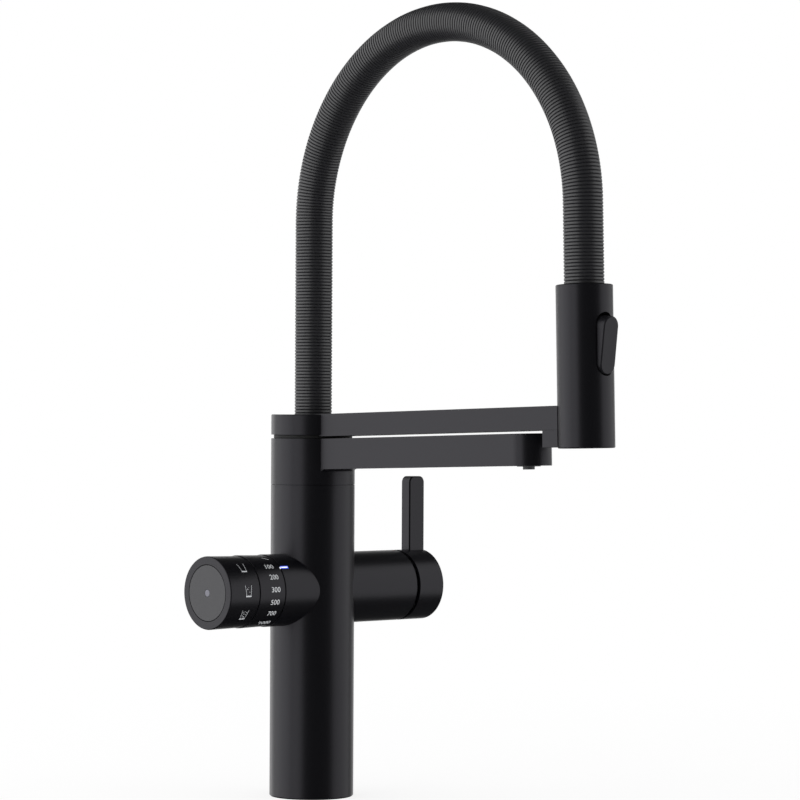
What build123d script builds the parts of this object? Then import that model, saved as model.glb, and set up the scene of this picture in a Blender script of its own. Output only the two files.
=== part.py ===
"""Kitchen mixer tap with a hose arch, a swivelling water spout and a dial for sparkling water.

Millimetres, +Z up. The origin is the centre of the foot on the worktop.
+X is the way both arms point at rest, -Y is the dial's side, +Y is the mixer lever's side.
"""
from build123d import *
import os
from math import asin, cos, pi, radians, sin

# Clearances
RUN = 0.05
SLIP = 0.1
GAP = 0.3

# Column with its two side sleeves
BODY_RADIUS = 27.0
BODY_WALL = 4.0
COLUMN_TOP = 200.2
COLUMN_LID = 12.0
FOOT_CHAMFER = 0.8
EDGE = 0.5
CONTROL_Z = 133.2
CONTROL_RADIUS = 23.05
MIXER_SLEEVE_END = 71.5
DIAL_SLEEVE_END = 42.4
COLUMN_BORE = BODY_RADIUS - BODY_WALL

# Foot, shank and clamp under a worktop
WORKTOP = 30.0
SHANK_RADIUS = 16.5
SHANK_BORE = 13.5
SHANK_LENGTH = 60.0
SHANK_GRIP = 10.0
GASKET_THICKNESS = 2.0
GASKET_MARGIN = 1.0
BASE_WEB = 12.0
SOCKET_RADIUS = 4.45
SOCKET_CIRCLE = 8.2
CABLE_HOLE_RADIUS = 3.0
WASHER_MARGIN = 1.0
RUBBER_WASHER = 3.0
STEEL_WASHER = 2.5
NUT_ACROSS_CORNERS = 24.0
NUT_HEIGHT = 9.0
BASE_TOP = GASKET_THICKNESS + SHANK_GRIP + BASE_WEB
GASKET_OUTER = COLUMN_BORE - GASKET_MARGIN
WASHER_RADIUS = BODY_RADIUS - WASHER_MARGIN

# Water ways inside the column
SUPPLY_TUBE_RADIUS = 4.0
FILTER_TUBE_RADIUS = 3.0
TUBE_WALL = 1.0
BLOCK_LOW = 112.0
BLOCK_HIGH = 156.0

# Swivel post and the two hubs on it
POST_RADIUS = 14.0
POST_ROOT_RADIUS = 12.0
POST_ROOT = 16.0
POST_NECK_RADIUS = 13.0
POST_TIP_RADIUS = 10.0
POST_TIP = 3.5
SPOUT_HUB_HIGH = 229.9
HUB_GAP = 2.4
SPACER_INSET = 1.7
ARM_HUB_HIGH = 245.3
ARM_HUB_FLOOR = 3.7
COLLAR_BORE = 17.0
COLLAR_HEIGHT = 5.0
RING_NUT_RADIUS = 15.0
RING_NUT_HEIGHT = 2.5
GLIDE_INSET = 7.0
GLIDE_HEIGHT = 2.0
WATER_GROOVE_DEPTH = 1.7
WATER_GROOVE_HEIGHT = 7.0
SPACER_RADIUS = BODY_RADIUS - SPACER_INSET
GLIDE_RADIUS = BODY_RADIUS - GLIDE_INSET
SPOUT_HUB_LOW = COLUMN_TOP + GAP
SPACER_LOW = SPOUT_HUB_HIGH + GAP
ARM_HUB_LOW = SPOUT_HUB_HIGH + HUB_GAP
ARM_SHOULDER = ARM_HUB_LOW + ARM_HUB_FLOOR
POST_SHOULDER = ARM_SHOULDER + GAP

# Arms
ARM_WIDTH = 28.0
ARM_RISE = 1.54
ARM_ROOT = 17.5
SPOUT_ARM_BASE = 209.9
SPOUT_ARM_DEPTH = 19.35
SPOUT_REACH = 194.5
CHANNEL_RADIUS = 4.0
OUTLET_RADIUS = 7.2
OUTLET_PROUD = 0.4
OUTLET_DEPTH = 6.0
NOZZLE_RADIUS = 3.6
NOZZLE_BORE = 2.5
NOZZLE_PROUD = 2.2
HOLDER_ARM_BASE = 230.85
HOLDER_ARM_DEPTH = 14.2
DOCK_CLEARANCE = 10.5
DOCK_LENGTH = 10.4
TONGUE = 3.0
MAGNET_SIZE = (3.0, 12.0, 7.0)
DOCK_START = SPOUT_REACH + ARM_WIDTH / 2 + DOCK_CLEARANCE

# Spray head, its axis square to the arms
HEAD_STANDOFF = 23.0
HEAD_Z = 226.2
HEAD_RADIUS = 17.0
HEAD_LENGTH = 96.6
HEAD_WALL = 1.6
HEAD_LID = 4.0
HEAD_X = DOCK_START + HEAD_STANDOFF
CORE_START = 3.5
SPRAY_PLATE = 2.6
SPRAY_INSET = 0.6
AERATOR_RADIUS = 8.0
AERATOR_DEPTH = 12.0

# Spray switch, a rocker
SWITCH_Z = 61.0
SWITCH_LENGTH = 34.5
SWITCH_WIDTH = 12.4
SWITCH_FACE = 20.05
SWITCH_PIVOT = 12.0
SWITCH_BACK = 1.6
SWITCH_TILT = 8.0
SWITCH_SLOT_MARGIN = 1.6
SWITCH_SIDE_MARGIN = 0.7
SWITCH_BEVEL = 0.6
SWITCH_PIN_RADIUS = 1.2
SWITCH_PIN_HALF = 7.9

# Hose arch
HOSE_RADIUS = 12.0
HOSE_GROOVE = 11.2
HOSE_BORE = 9.0
HOSE_TOP = 500.0
HOSE_RIBS = 24
ARCH_STEPS = 10
CREST_SHARE = 0.55
FLANK_SHARE = 0.1
WATER_HOSE_RADIUS = 7.0
WATER_HOSE_BORE = 5.1
NIPPLE_RADIUS = 5.0
NIPPLE_BORE = 3.5
NIPPLE_LENGTH = 18.0
NIPPLE_SEAT = 9.0
WATER_HOSE_START = 4.0

# Mixer cartridge and lever
CARTRIDGE_RADIUS = 17.5
CARTRIDGE_FLOOR = 36.0
CARTRIDGE_SHOULDER = 62.0
CARTRIDGE_NECK = 14.5
CARTRIDGE_FOOT = 12.0
CARTRIDGE_END = 66.0
TURRET_RADIUS = 12.0
TURRET_START = 48.5
LEVER_PIVOT = 54.0
CARTRIDGE_NUT_RADIUS = 19.8
CARTRIDGE_NUT_HEIGHT = 6.0
STEM_SIZE = 7.0
STEM_START = 52.0
STEM_SLOT_FLOOR = 50.2
STEM_SLOT_BACK = 4.8
STEM_SLOT_FRONT = 8.8
STEM_PIN_RADIUS = 1.2
STEM_PIN_HALF = 6.5
CAP_GAP = 3.1
CAP_END = 95.8
CAP_WALL = 1.5
CAP_FRONT = 5.8
CAP_BOSS_RADIUS = 7.5
CAP_BOSS_START = 84.0
LEVER_WIDTH = 8.3
LEVER_THICKNESS = 13.6
LEVER_TOP = 71.6
LEVER_ROOT = 16.5
LEVER_CORNER = 2.8
SCREW_RADIUS = 2.4
SCREW_LENGTH = 9.0
CAP_START = MIXER_SLEEVE_END + CAP_GAP

# Sparkling water dial
DIAL_END = 88.2
TYPE_RING_LENGTH = 24.2
DIAL_CORE_RADIUS = 16.5
DIAL_CORE_END = 83.9
DIAL_CORE_WALL = 2.5
DIAL_SEAT_RADIUS = 20.0
DIAL_SEAT_DEPTH = 7.5
BOARD_SEAT = 76.0
BOARD_SIZE = (20.0, 17.0, 1.2)
PUSH_SWITCH_SIZE = (6.0, 6.0, 3.0)
CLIP_RADIUS = 17.3
CLIP_BORE = 12.0
CLIP_THICKNESS = 1.0
BUTTON_RADIUS = 17.55
BUTTON_SEAM = 0.35
BUTTON_THICKNESS = 1.6
BUTTON_TRAVEL = 1.4
BUTTON_STEM_RADIUS = 5.0
LENS_RADIUS = 2.25
SPRING_RADIUS = 7.5
INDEX_ANGLE = 42.0
INDEX_LENGTH = 6.0
INDEX_WIDTH = 1.3
INDEX_DEPTH = 2.5
MAGNETS = 4
RING_MAGNET = (1.6, 3.0, 5.0)
TYPE_RING_START = DIAL_END - TYPE_RING_LENGTH
VOLUME_RING_START = DIAL_SLEEVE_END + GAP

BOTTOM = (Align.CENTER, Align.CENTER, Align.MIN)
MIXER_SIDE = Pos(0, 0, CONTROL_Z) * Rot(-90, 0, 0)
DIAL_SIDE = Pos(0, 0, CONTROL_Z) * Rot(90, 0, 0)
SPOUT_FRAME = Pos(0, 0, SPOUT_ARM_BASE) * Rot(0, -ARM_RISE, 0)
HOLDER_FRAME = Pos(0, 0, HOLDER_ARM_BASE) * Rot(0, -ARM_RISE, 0)
HEAD_FRAME = Pos(HEAD_X, 0, HEAD_Z) * Rot(0, -ARM_RISE, 0)


def disc(radius, low, high):
    """A cylinder on the local Z axis, from low to high."""
    return Pos(0, 0, low) * Cylinder(radius, high - low, align=BOTTOM)


def ring(outer, inner, low, high):
    """A tube on the local Z axis, from low to high."""
    return disc(outer, low, high) - disc(inner, low, high)


def block(x_size, y_size, low, high):
    """A box centred on the local Z axis, from low to high."""
    return Pos(0, 0, low) * Box(x_size, y_size, high - low, align=BOTTOM)


def rim(solid, radius, height, size):
    """Chamfers the circular edges of one radius at one local height."""
    found = [
        edge
        for edge in solid.edges().filter_by(GeomType.CIRCLE)
        if abs(edge.radius - radius) < SLIP / 2 and abs(edge.center().Z - height) < SLIP / 2
    ]
    return chamfer(found, size)


def column():
    """The one-piece column: tube, lid, mixer sleeve and dial sleeve, with seats cut for what they hold."""
    body = rim(disc(BODY_RADIUS, 0, COLUMN_TOP), BODY_RADIUS, 0, FOOT_CHAMFER)
    body += MIXER_SIDE * disc(CONTROL_RADIUS, 0, MIXER_SLEEVE_END)
    body += DIAL_SIDE * disc(CONTROL_RADIUS, 0, DIAL_SLEEVE_END)
    body -= disc(COLUMN_BORE, 0, COLUMN_TOP - COLUMN_LID)
    body -= disc(POST_ROOT_RADIUS + SLIP, 0, COLUMN_TOP)
    body -= MIXER_SIDE * disc(CARTRIDGE_FOOT + SLIP, 0, CARTRIDGE_FLOOR)
    body -= MIXER_SIDE * disc(CARTRIDGE_RADIUS + SLIP, CARTRIDGE_FLOOR, MIXER_SLEEVE_END)
    body -= MIXER_SIDE * disc(CARTRIDGE_NUT_RADIUS + SLIP, CARTRIDGE_SHOULDER, MIXER_SLEEVE_END)
    seat = DIAL_SLEEVE_END - DIAL_SEAT_DEPTH
    body -= DIAL_SIDE * disc(DIAL_SEAT_RADIUS, seat, DIAL_SLEEVE_END)
    body -= DIAL_SIDE * disc(CABLE_HOLE_RADIUS, 0, DIAL_SLEEVE_END)
    body -= index_slot(SLIP)
    return body


def index_slot(margin):
    """The slot of the lit index in the end of the dial sleeve, or with no margin the light itself."""
    low = DIAL_SLEEVE_END - INDEX_LENGTH - margin
    height = INDEX_DEPTH + margin
    bar = Box(INDEX_WIDTH + 2 * margin, 2 * height, DIAL_SLEEVE_END - low, align=BOTTOM)
    turned = Rot(0, 0, INDEX_ANGLE - 90) * Pos(0, CONTROL_RADIUS, low) * bar
    return DIAL_SIDE * (turned & disc(CONTROL_RADIUS, low, DIAL_SLEEVE_END))


def base_plate():
    """The plug in the column's foot: shank thread, inlet sockets and cable hole."""
    plate = disc(COLUMN_BORE - SLIP, GASKET_THICKNESS, BASE_TOP)
    plate -= disc(SHANK_RADIUS + SLIP, GASKET_THICKNESS, GASKET_THICKNESS + SHANK_GRIP)
    for angle in (0, 180, 270):
        plate -= Rot(0, 0, angle) * Pos(SOCKET_CIRCLE, 0) * disc(SOCKET_RADIUS, 0, BASE_TOP)
    plate -= Pos(0, SOCKET_CIRCLE) * disc(CABLE_HOLE_RADIUS, 0, BASE_TOP)
    return plate


def clamp_heights():
    """The heights of the clamp's faces under the worktop, from the top down."""
    rubber = -WORKTOP - RUBBER_WASHER
    steel = rubber - STEEL_WASHER
    return -WORKTOP, rubber, steel, steel - NUT_HEIGHT


def fixing_nut():
    """The hexagon nut that draws the shank down."""
    _, _, top, bottom = clamp_heights()
    nut = Pos(0, 0, bottom) * extrude(RegularPolygon(NUT_ACROSS_CORNERS, 6), NUT_HEIGHT)
    return nut - disc(SHANK_RADIUS + SLIP, bottom, top)


def valve_block():
    """The closed block behind the cartridge, which the filtered water's tube passes through."""
    body = disc(COLUMN_BORE - SLIP, BLOCK_LOW, BLOCK_HIGH)
    return body - Pos(0, -SOCKET_CIRCLE) * disc(FILTER_TUBE_RADIUS + SLIP, BLOCK_LOW, BLOCK_HIGH)


def tube(radius, low, high):
    """A straight water tube."""
    return ring(radius, radius - TUBE_WALL, low, high)


def supply_tubes():
    """The cold and the hot tube, from the inlet sockets up to the valve block."""
    one = tube(SUPPLY_TUBE_RADIUS, BASE_TOP, BLOCK_LOW)
    return [Pos(side * SOCKET_CIRCLE, 0) * one for side in (1, -1)]


def swivel_post():
    """The stepped post that both hubs turn on, with a way for mixed and one for filtered water."""
    low = COLUMN_TOP - POST_ROOT
    top = POST_SHOULDER + POST_TIP
    post = disc(POST_ROOT_RADIUS, low, COLUMN_TOP)
    post += disc(POST_RADIUS, COLUMN_TOP, SPACER_LOW)
    post += disc(POST_NECK_RADIUS, SPACER_LOW, POST_SHOULDER)
    post += disc(POST_TIP_RADIUS, POST_SHOULDER, top)
    post -= disc(NIPPLE_BORE, low, top)
    post -= disc(NIPPLE_RADIUS + SLIP, top - NIPPLE_SEAT, top)
    middle = channel_height()
    groove = ring(POST_RADIUS + SLIP, POST_RADIUS - WATER_GROOVE_DEPTH, 0, WATER_GROOVE_HEIGHT)
    post -= Pos(0, 0, middle - WATER_GROOVE_HEIGHT / 2) * groove
    bore = FILTER_TUBE_RADIUS - TUBE_WALL
    post -= Pos(0, -SOCKET_CIRCLE) * disc(bore, low, middle)
    post -= Pos(0, 0, middle) * Rot(90, 0, 0) * disc(bore, SOCKET_CIRCLE, POST_RADIUS)
    return post


def channel_height():
    """The height of the spout's water channel where it meets the post."""
    return SPOUT_ARM_BASE + SPOUT_ARM_DEPTH / 2


def arm_plan(start, end):
    """The outline of an arm seen from above."""
    return Pos((start + end) / 2, 0) * Rectangle(end - start, ARM_WIDTH)


def water_spout():
    """The lower hub and its arm with a half round tip, bored for the filtered and sparkling water."""
    hub = disc(BODY_RADIUS, SPOUT_HUB_LOW, SPOUT_HUB_HIGH)
    plan = arm_plan(ARM_ROOT, SPOUT_REACH) + Pos(SPOUT_REACH, 0) * Circle(ARM_WIDTH / 2)
    spout = hub + SPOUT_FRAME * extrude(plan, SPOUT_ARM_DEPTH)
    along = Pos(0, 0, SPOUT_ARM_DEPTH / 2) * Rot(0, 90, 0)
    spout -= SPOUT_FRAME * along * disc(CHANNEL_RADIUS, 0, SPOUT_REACH)
    spout -= SPOUT_FRAME * Pos(SPOUT_REACH, 0) * disc(CHANNEL_RADIUS, 0, SPOUT_ARM_DEPTH / 2)
    spout -= SPOUT_FRAME * Pos(SPOUT_REACH, 0) * disc(OUTLET_RADIUS + SLIP, 0, OUTLET_DEPTH)
    spout -= disc(POST_RADIUS + RUN, SPOUT_HUB_LOW, SPOUT_HUB_HIGH)
    spout -= disc(GLIDE_RADIUS + GAP, SPOUT_HUB_LOW, COLUMN_TOP + GLIDE_HEIGHT + GAP)
    return spout


def outlet():
    """The spout's outlet insert with its small nozzle."""
    body = disc(OUTLET_RADIUS, -OUTLET_PROUD, OUTLET_DEPTH) + disc(NOZZLE_RADIUS, -NOZZLE_PROUD, 0)
    body -= disc(NOZZLE_BORE, -NOZZLE_PROUD, OUTLET_DEPTH)
    return SPOUT_FRAME * Pos(SPOUT_REACH, 0) * body


def head_space(low, high):
    """The room that the docked spray head needs, round its own axis."""
    return HEAD_FRAME * disc(HEAD_RADIUS + GAP, low, high)


def holder_arm():
    """The upper hub and its arm, whose end is hollowed to cradle the spray head."""
    hub = rim(disc(BODY_RADIUS, ARM_HUB_LOW, ARM_HUB_HIGH), BODY_RADIUS, ARM_HUB_HIGH, EDGE)
    arm = HOLDER_FRAME * extrude(arm_plan(ARM_ROOT, HEAD_X), HOLDER_ARM_DEPTH)
    arm -= disc(SPACER_RADIUS + GAP, SPACER_LOW - GAP, ARM_HUB_LOW)
    arm -= head_space(-HEAD_RADIUS, HEAD_LENGTH)
    holder = hub + arm
    holder -= disc(POST_NECK_RADIUS + RUN, ARM_HUB_LOW, ARM_SHOULDER)
    holder -= disc(COLLAR_BORE, ARM_SHOULDER, ARM_HUB_HIGH)
    holder -= HOLDER_FRAME * Pos(tongue_x(), 0) * tongue(SLIP)
    return holder


def tongue_x():
    """Where the dock block's tongue stands along the arm."""
    return DOCK_START + TONGUE


def tongue(margin):
    """The tongue on the dock block, or with a margin its pocket in the arm."""
    return block(TONGUE + 2 * margin, ARM_WIDTH / 2 + 2 * margin, 0, TONGUE + margin)


def dock_block():
    """The block under the arm's end: the lower half of the cradle, with the magnet's pocket."""
    body = extrude(arm_plan(DOCK_START, HEAD_X), -DOCK_LENGTH)
    body += Pos(tongue_x(), 0) * tongue(0)
    body -= magnet_place() * block(*(size + 2 * SLIP for size in MAGNET_SIZE[:2]), -MAGNET_SIZE[2], 0)
    body = HOLDER_FRAME * body
    return body - head_space(-HEAD_RADIUS, HEAD_LENGTH)


def magnet_place():
    """The magnet's place, from the top of its pocket down."""
    return Pos(DOCK_START + MAGNET_SIZE[0], 0, TONGUE - DOCK_LENGTH / 2)


def dock_magnet():
    """The magnet that holds the spray head in its cradle."""
    return HOLDER_FRAME * magnet_place() * block(*MAGNET_SIZE[:2], -MAGNET_SIZE[2], 0)


def hose_collar():
    """The threaded collar round the hose's lower end, flush with the top of the hub."""
    return ring(COLLAR_BORE - SLIP, HOSE_RADIUS + SLIP, ARM_HUB_HIGH - COLLAR_HEIGHT, ARM_HUB_HIGH)


def nipple(seat):
    """A hose nipple whose root stands in a seat that opens at this height."""
    return ring(NIPPLE_RADIUS, NIPPLE_BORE, seat - NIPPLE_SEAT, seat + NIPPLE_LENGTH)


def hose_start():
    """The height where the hose leaves its collar's lower face."""
    return ARM_HUB_HIGH - COLLAR_HEIGHT


class Arch:
    """The hose's centre line: straight up, one arc over, and straight down into the head."""

    def __init__(self):
        lean = radians(ARM_RISE)
        seat = HEAD_LENGTH - HEAD_LID
        self.down = (sin(lean), -cos(lean))
        self.end = (HEAD_X - seat * sin(lean), HEAD_Z + seat * cos(lean))
        top = HOSE_TOP - HOSE_RADIUS
        reach = self.end[0] * cos(lean) + (self.end[1] - top) * sin(lean)
        self.radius = reach / (1 + cos(lean) - sin(lean))
        self.centre = (self.radius, top - self.radius)
        self.turn = pi - lean
        self.rise = self.centre[1] - hose_start()
        self.arc = self.radius * self.turn
        last = self.arc_point(self.turn)
        self.fall = ((last[0] - self.end[0]) ** 2 + (last[1] - self.end[1]) ** 2) ** 0.5
        self.length = self.rise + self.arc + self.fall

    def arc_point(self, angle):
        """A point on the arc, by the angle turned since it began."""
        return (
            self.centre[0] - self.radius * cos(angle),
            self.centre[1] + self.radius * sin(angle),
        )

    def plane(self, distance):
        """The plane square to the line at a distance along it, its X axis always across the arch."""
        if distance <= self.rise:
            place, heading = (0, hose_start() + distance), (0, 1)
        elif distance <= self.rise + self.arc:
            angle = (distance - self.rise) / self.radius
            place, heading = self.arc_point(angle), (sin(angle), cos(angle))
        else:
            left = self.length - distance
            place = (self.end[0] - self.down[0] * left, self.end[1] - self.down[1] * left)
            heading = self.down
        return Plane((place[0], 0, place[1]), x_dir=(0, 1, 0), z_dir=(heading[0], 0, heading[1]))

    def loft(self, stations):
        """A ruled loft through circles, each a distance along the line and a radius."""
        return loft([self.plane(s) * Circle(radius) for s, radius in stations], ruled=True)

    def pipe(self, radius, margin):
        """A plain round rod along the line, shorter than it by a margin at each end."""
        turns = [self.rise + self.arc * step / ARCH_STEPS for step in range(ARCH_STEPS + 1)]
        return self.loft([(s, radius) for s in (margin, *turns, self.length - margin)])


ARCH = Arch()


def hose_sheath():
    """The ribbed sheath: each rib is a crest, a flank, a groove and a flank, with plain ends and a bore."""
    cuff = 2 * HOSE_RADIUS
    first = min(cuff, ARCH.rise) / 4
    pitch = (ARCH.length - 2 * first) / HOSE_RIBS
    stations = [(0, HOSE_RADIUS)]
    for rib in range(HOSE_RIBS):
        start = first + rib * pitch
        stations.append((start, HOSE_RADIUS))
        stations.append((start + FLANK_SHARE * pitch, HOSE_GROOVE))
        stations.append((start + (1 - CREST_SHARE - FLANK_SHARE) * pitch, HOSE_GROOVE))
        stations.append((start + (1 - CREST_SHARE) * pitch, HOSE_RADIUS))
    stations.append((ARCH.length - GAP, HOSE_RADIUS))
    return ARCH.loft(stations) - ARCH.pipe(HOSE_BORE, 0)


def water_hose():
    """The plain water hose inside the sheath, pushed over a nipple at each end."""
    return ARCH.pipe(WATER_HOSE_RADIUS, WATER_HOSE_START) - ARCH.pipe(WATER_HOSE_BORE, WATER_HOSE_START)


def switch_outline(margin, end_margin):
    """The rocker's stadium outline in its own plane."""
    width = SWITCH_WIDTH + 2 * margin
    return SlotOverall(SWITCH_LENGTH + 2 * end_margin, width)


def switch_frame():
    """The rocker's frame at its pivot, its local Z pointing out of the head and X down along it."""
    return HEAD_FRAME * Pos(SWITCH_PIVOT, 0, SWITCH_Z) * Rot(0, 90, 0)


def switch_pocket():
    """The room that the rocker swings in, through the shell and into the core."""
    depth = SWITCH_LENGTH / 2 * sin(radians(SWITCH_TILT)) + SWITCH_BACK + GAP
    outline = switch_outline(SWITCH_SIDE_MARGIN, SWITCH_SLOT_MARGIN)
    return switch_frame() * Pos(0, 0, -depth) * extrude(outline, depth + HEAD_RADIUS)


def head_shell():
    """The tube of the spray head, with its lid and the window of the rocker."""
    shell = disc(HEAD_RADIUS, 0, HEAD_LENGTH)
    shell = rim(shell, HEAD_RADIUS, 0, EDGE)
    shell = rim(shell, HEAD_RADIUS, HEAD_LENGTH, EDGE)
    shell -= disc(HEAD_RADIUS - HEAD_WALL, 0, HEAD_LENGTH - HEAD_LID)
    shell -= disc(HOSE_RADIUS + SLIP, 0, HEAD_LENGTH)
    return HEAD_FRAME * shell - switch_pocket()


def head_core():
    """The valve body in the head: water way, aerator seat and the rocker's pocket."""
    top = HEAD_LENGTH - HEAD_LID - GAP
    core = disc(HEAD_RADIUS - HEAD_WALL - SLIP, CORE_START, top)
    core -= disc(NIPPLE_BORE, CORE_START, top)
    core -= disc(NIPPLE_RADIUS + SLIP, top - NIPPLE_SEAT, top)
    core -= disc(AERATOR_RADIUS + SLIP, CORE_START, AERATOR_DEPTH)
    core -= dock_plate_blank(SLIP)
    return HEAD_FRAME * core - switch_pocket() - switch_frame() * Rot(90, 0, 0) * pin_blank(SLIP)


def pin_blank(margin):
    """The rocker's pin across the head, or with a margin its hole."""
    half = SWITCH_PIN_HALF + margin
    return disc(SWITCH_PIN_RADIUS + margin, -half, half)


def spray_switch():
    """The rocker: a stadium block with bevelled face edges, its top standing out of the head at rest."""
    face = SWITCH_FACE - SWITCH_PIVOT
    body = Pos(0, 0, -SWITCH_BACK) * extrude(switch_outline(0, 0), face + SWITCH_BACK)
    body = chamfer(body.faces().sort_by(Axis.Z)[-1].edges(), SWITCH_BEVEL)
    body -= Rot(90, 0, 0) * disc(SWITCH_PIN_RADIUS + RUN, -SWITCH_WIDTH, SWITCH_WIDTH)
    return switch_frame() * Rot(0, SWITCH_TILT, 0) * body


def spray_plate():
    """The outlet plate of the head, round the aerator."""
    outer = HEAD_RADIUS - HEAD_WALL - SLIP
    return HEAD_FRAME * ring(outer, AERATOR_RADIUS + SLIP, SPRAY_INSET, SPRAY_INSET + SPRAY_PLATE)


def aerator():
    """The aerator cartridge in the middle of the outlet plate."""
    body = disc(AERATOR_RADIUS, SPRAY_INSET, AERATOR_DEPTH - SLIP)
    body -= disc(NIPPLE_BORE, SPRAY_INSET + SPRAY_PLATE, AERATOR_DEPTH)
    return HEAD_FRAME * body


def dock_plate_blank(margin):
    """The steel plate behind the shell that meets the magnet, or with a margin its pocket."""
    x_size, y_size, z_size = MAGNET_SIZE
    inner = HEAD_RADIUS - HEAD_WALL - SLIP
    centre = inner * cos(asin((y_size / 2 + margin) / inner)) - x_size / 2
    box = Box(x_size / 2 + 2 * margin, y_size + 2 * margin, z_size + 2 * margin)
    return Pos(-centre, 0, DOCK_LENGTH - z_size / 2 + TONGUE) * box


def mixer_cartridge():
    """The ceramic cartridge's housing, its foot on the valve block and its front open for the turret."""
    body = disc(CARTRIDGE_FOOT, COLUMN_BORE, CARTRIDGE_FLOOR)
    body += disc(CARTRIDGE_RADIUS, CARTRIDGE_FLOOR, CARTRIDGE_SHOULDER)
    body += disc(CARTRIDGE_NECK, CARTRIDGE_SHOULDER, CARTRIDGE_END)
    body -= disc(TURRET_RADIUS + RUN, TURRET_START - GAP, CARTRIDGE_END)
    return MIXER_SIDE * body


def cartridge_nut():
    """The ring nut that holds the cartridge in the sleeve."""
    return MIXER_SIDE * ring(
        CARTRIDGE_NUT_RADIUS, CARTRIDGE_NECK + SLIP, CARTRIDGE_SHOULDER, CARTRIDGE_SHOULDER + CARTRIDGE_NUT_HEIGHT
    )


def turret():
    """The part of the cartridge that turns with the lever and carries the stem's pin."""
    body = disc(TURRET_RADIUS, TURRET_START, CARTRIDGE_END)
    middle = (STEM_SLOT_FRONT - STEM_SLOT_BACK) / 2
    slot = block(STEM_SIZE + 2 * GAP, STEM_SLOT_FRONT + STEM_SLOT_BACK, STEM_SLOT_FLOOR, CARTRIDGE_END)
    body -= Pos(0, middle) * slot
    body -= stem_pin_blank(SLIP)
    return MIXER_SIDE * body


def stem_pin_blank(margin):
    """The pin that the lever tilts on, or with a margin its hole."""
    half = STEM_PIN_HALF + margin
    return Pos(0, 0, LEVER_PIVOT) * Rot(0, 90, 0) * disc(STEM_PIN_RADIUS + margin, -half, half)


def lever_stem():
    """The square stem that runs from the pin into the lever's cap."""
    stem = block(STEM_SIZE, STEM_SIZE, STEM_START, CAP_END - CAP_FRONT)
    stem -= Pos(0, 0, LEVER_PIVOT) * Rot(0, 90, 0) * disc(STEM_PIN_RADIUS + RUN, -STEM_SIZE, STEM_SIZE)
    return MIXER_SIDE * stem


def lever_cap():
    """The lever's cap: a thin skirt, a thick front, a socket for the stem and a slot for the lever."""
    cap = rim(disc(CONTROL_RADIUS, CAP_START, CAP_END), CONTROL_RADIUS, CAP_END, EDGE)
    inside = CAP_END - CAP_FRONT
    cap -= disc(CONTROL_RADIUS - CAP_WALL, CAP_START, inside)
    cap += disc(CAP_BOSS_RADIUS, CAP_BOSS_START, inside)
    cap -= block(STEM_SIZE + 2 * SLIP, STEM_SIZE + 2 * SLIP, CAP_START, inside)
    cap -= lever_blank(SLIP)
    cap -= screw_place() * disc(SCREW_RADIUS + SLIP, 0, CONTROL_RADIUS)
    return MIXER_SIDE * cap


def lever_blank(margin):
    """The lever bar standing up from the cap, or with a margin the slot for its root."""
    start = CAP_END - LEVER_THICKNESS
    wide = LEVER_WIDTH + 2 * margin
    high = LEVER_TOP - LEVER_ROOT + 2 * margin
    middle = -(LEVER_TOP + LEVER_ROOT) / 2
    return Pos(0, middle) * block(wide, high, start - margin, CAP_END + margin)


def lever_bar():
    """The flat lever bar with rounded top corners."""
    bar = lever_blank(0)
    corners = bar.edges().filter_by(Axis.X).sort_by(Axis.Y)[:2]
    return MIXER_SIDE * fillet(corners, LEVER_CORNER)


def screw_place():
    """The grub screw's place under the cap, pointing away from the lever."""
    return Pos(0, 0, CAP_BOSS_START + SCREW_RADIUS + 2 * SLIP) * Rot(-90, 0, 0)


def lever_screw():
    """The grub screw that clamps the cap on the stem."""
    start = STEM_SIZE / 2 + SLIP
    screw = disc(SCREW_RADIUS, start, start + SCREW_LENGTH)
    socket = extrude(RegularPolygon(SCREW_RADIUS / 2, 6), SCREW_RADIUS)
    screw -= Pos(0, 0, start + SCREW_LENGTH - SCREW_RADIUS) * socket
    return MIXER_SIDE * screw_place() * screw


def dial_core():
    """The fixed carrier that the two rings turn on, hollow for the circuit board."""
    seat = DIAL_SLEEVE_END - DIAL_SEAT_DEPTH
    core = disc(DIAL_SEAT_RADIUS - SLIP, seat, DIAL_SLEEVE_END)
    core += disc(DIAL_CORE_RADIUS, DIAL_SLEEVE_END, DIAL_CORE_END)
    core -= disc(DIAL_CORE_RADIUS - DIAL_CORE_WALL, BOARD_SEAT, DIAL_CORE_END)
    core -= disc(CABLE_HOLE_RADIUS, seat, BOARD_SEAT)
    return DIAL_SIDE * core - index_slot(SLIP)


def magnet_ring(low, margin):
    """A dial ring's small magnets, open to its inner end, or with a margin their pockets."""
    radius = (DIAL_CORE_RADIUS + CONTROL_RADIUS) / 2
    across, along, length = RING_MAGNET
    one = Pos(radius, 0) * block(across + 2 * margin, along + 2 * margin, low, low + length)
    return [DIAL_SIDE * Rot(0, 0, (turn + 0.5) * 360 / MAGNETS) * one for turn in range(MAGNETS)]


def cut_all(body, tools):
    """Cuts a list of solids out of a body."""
    for tool in tools:
        body -= tool
    return body


def volume_ring():
    """The inner ring, which sets how much water is drawn."""
    body = DIAL_SIDE * ring(CONTROL_RADIUS, DIAL_CORE_RADIUS + RUN, VOLUME_RING_START, TYPE_RING_START - GAP)
    return cut_all(body, magnet_ring(VOLUME_RING_START, SLIP))


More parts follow.
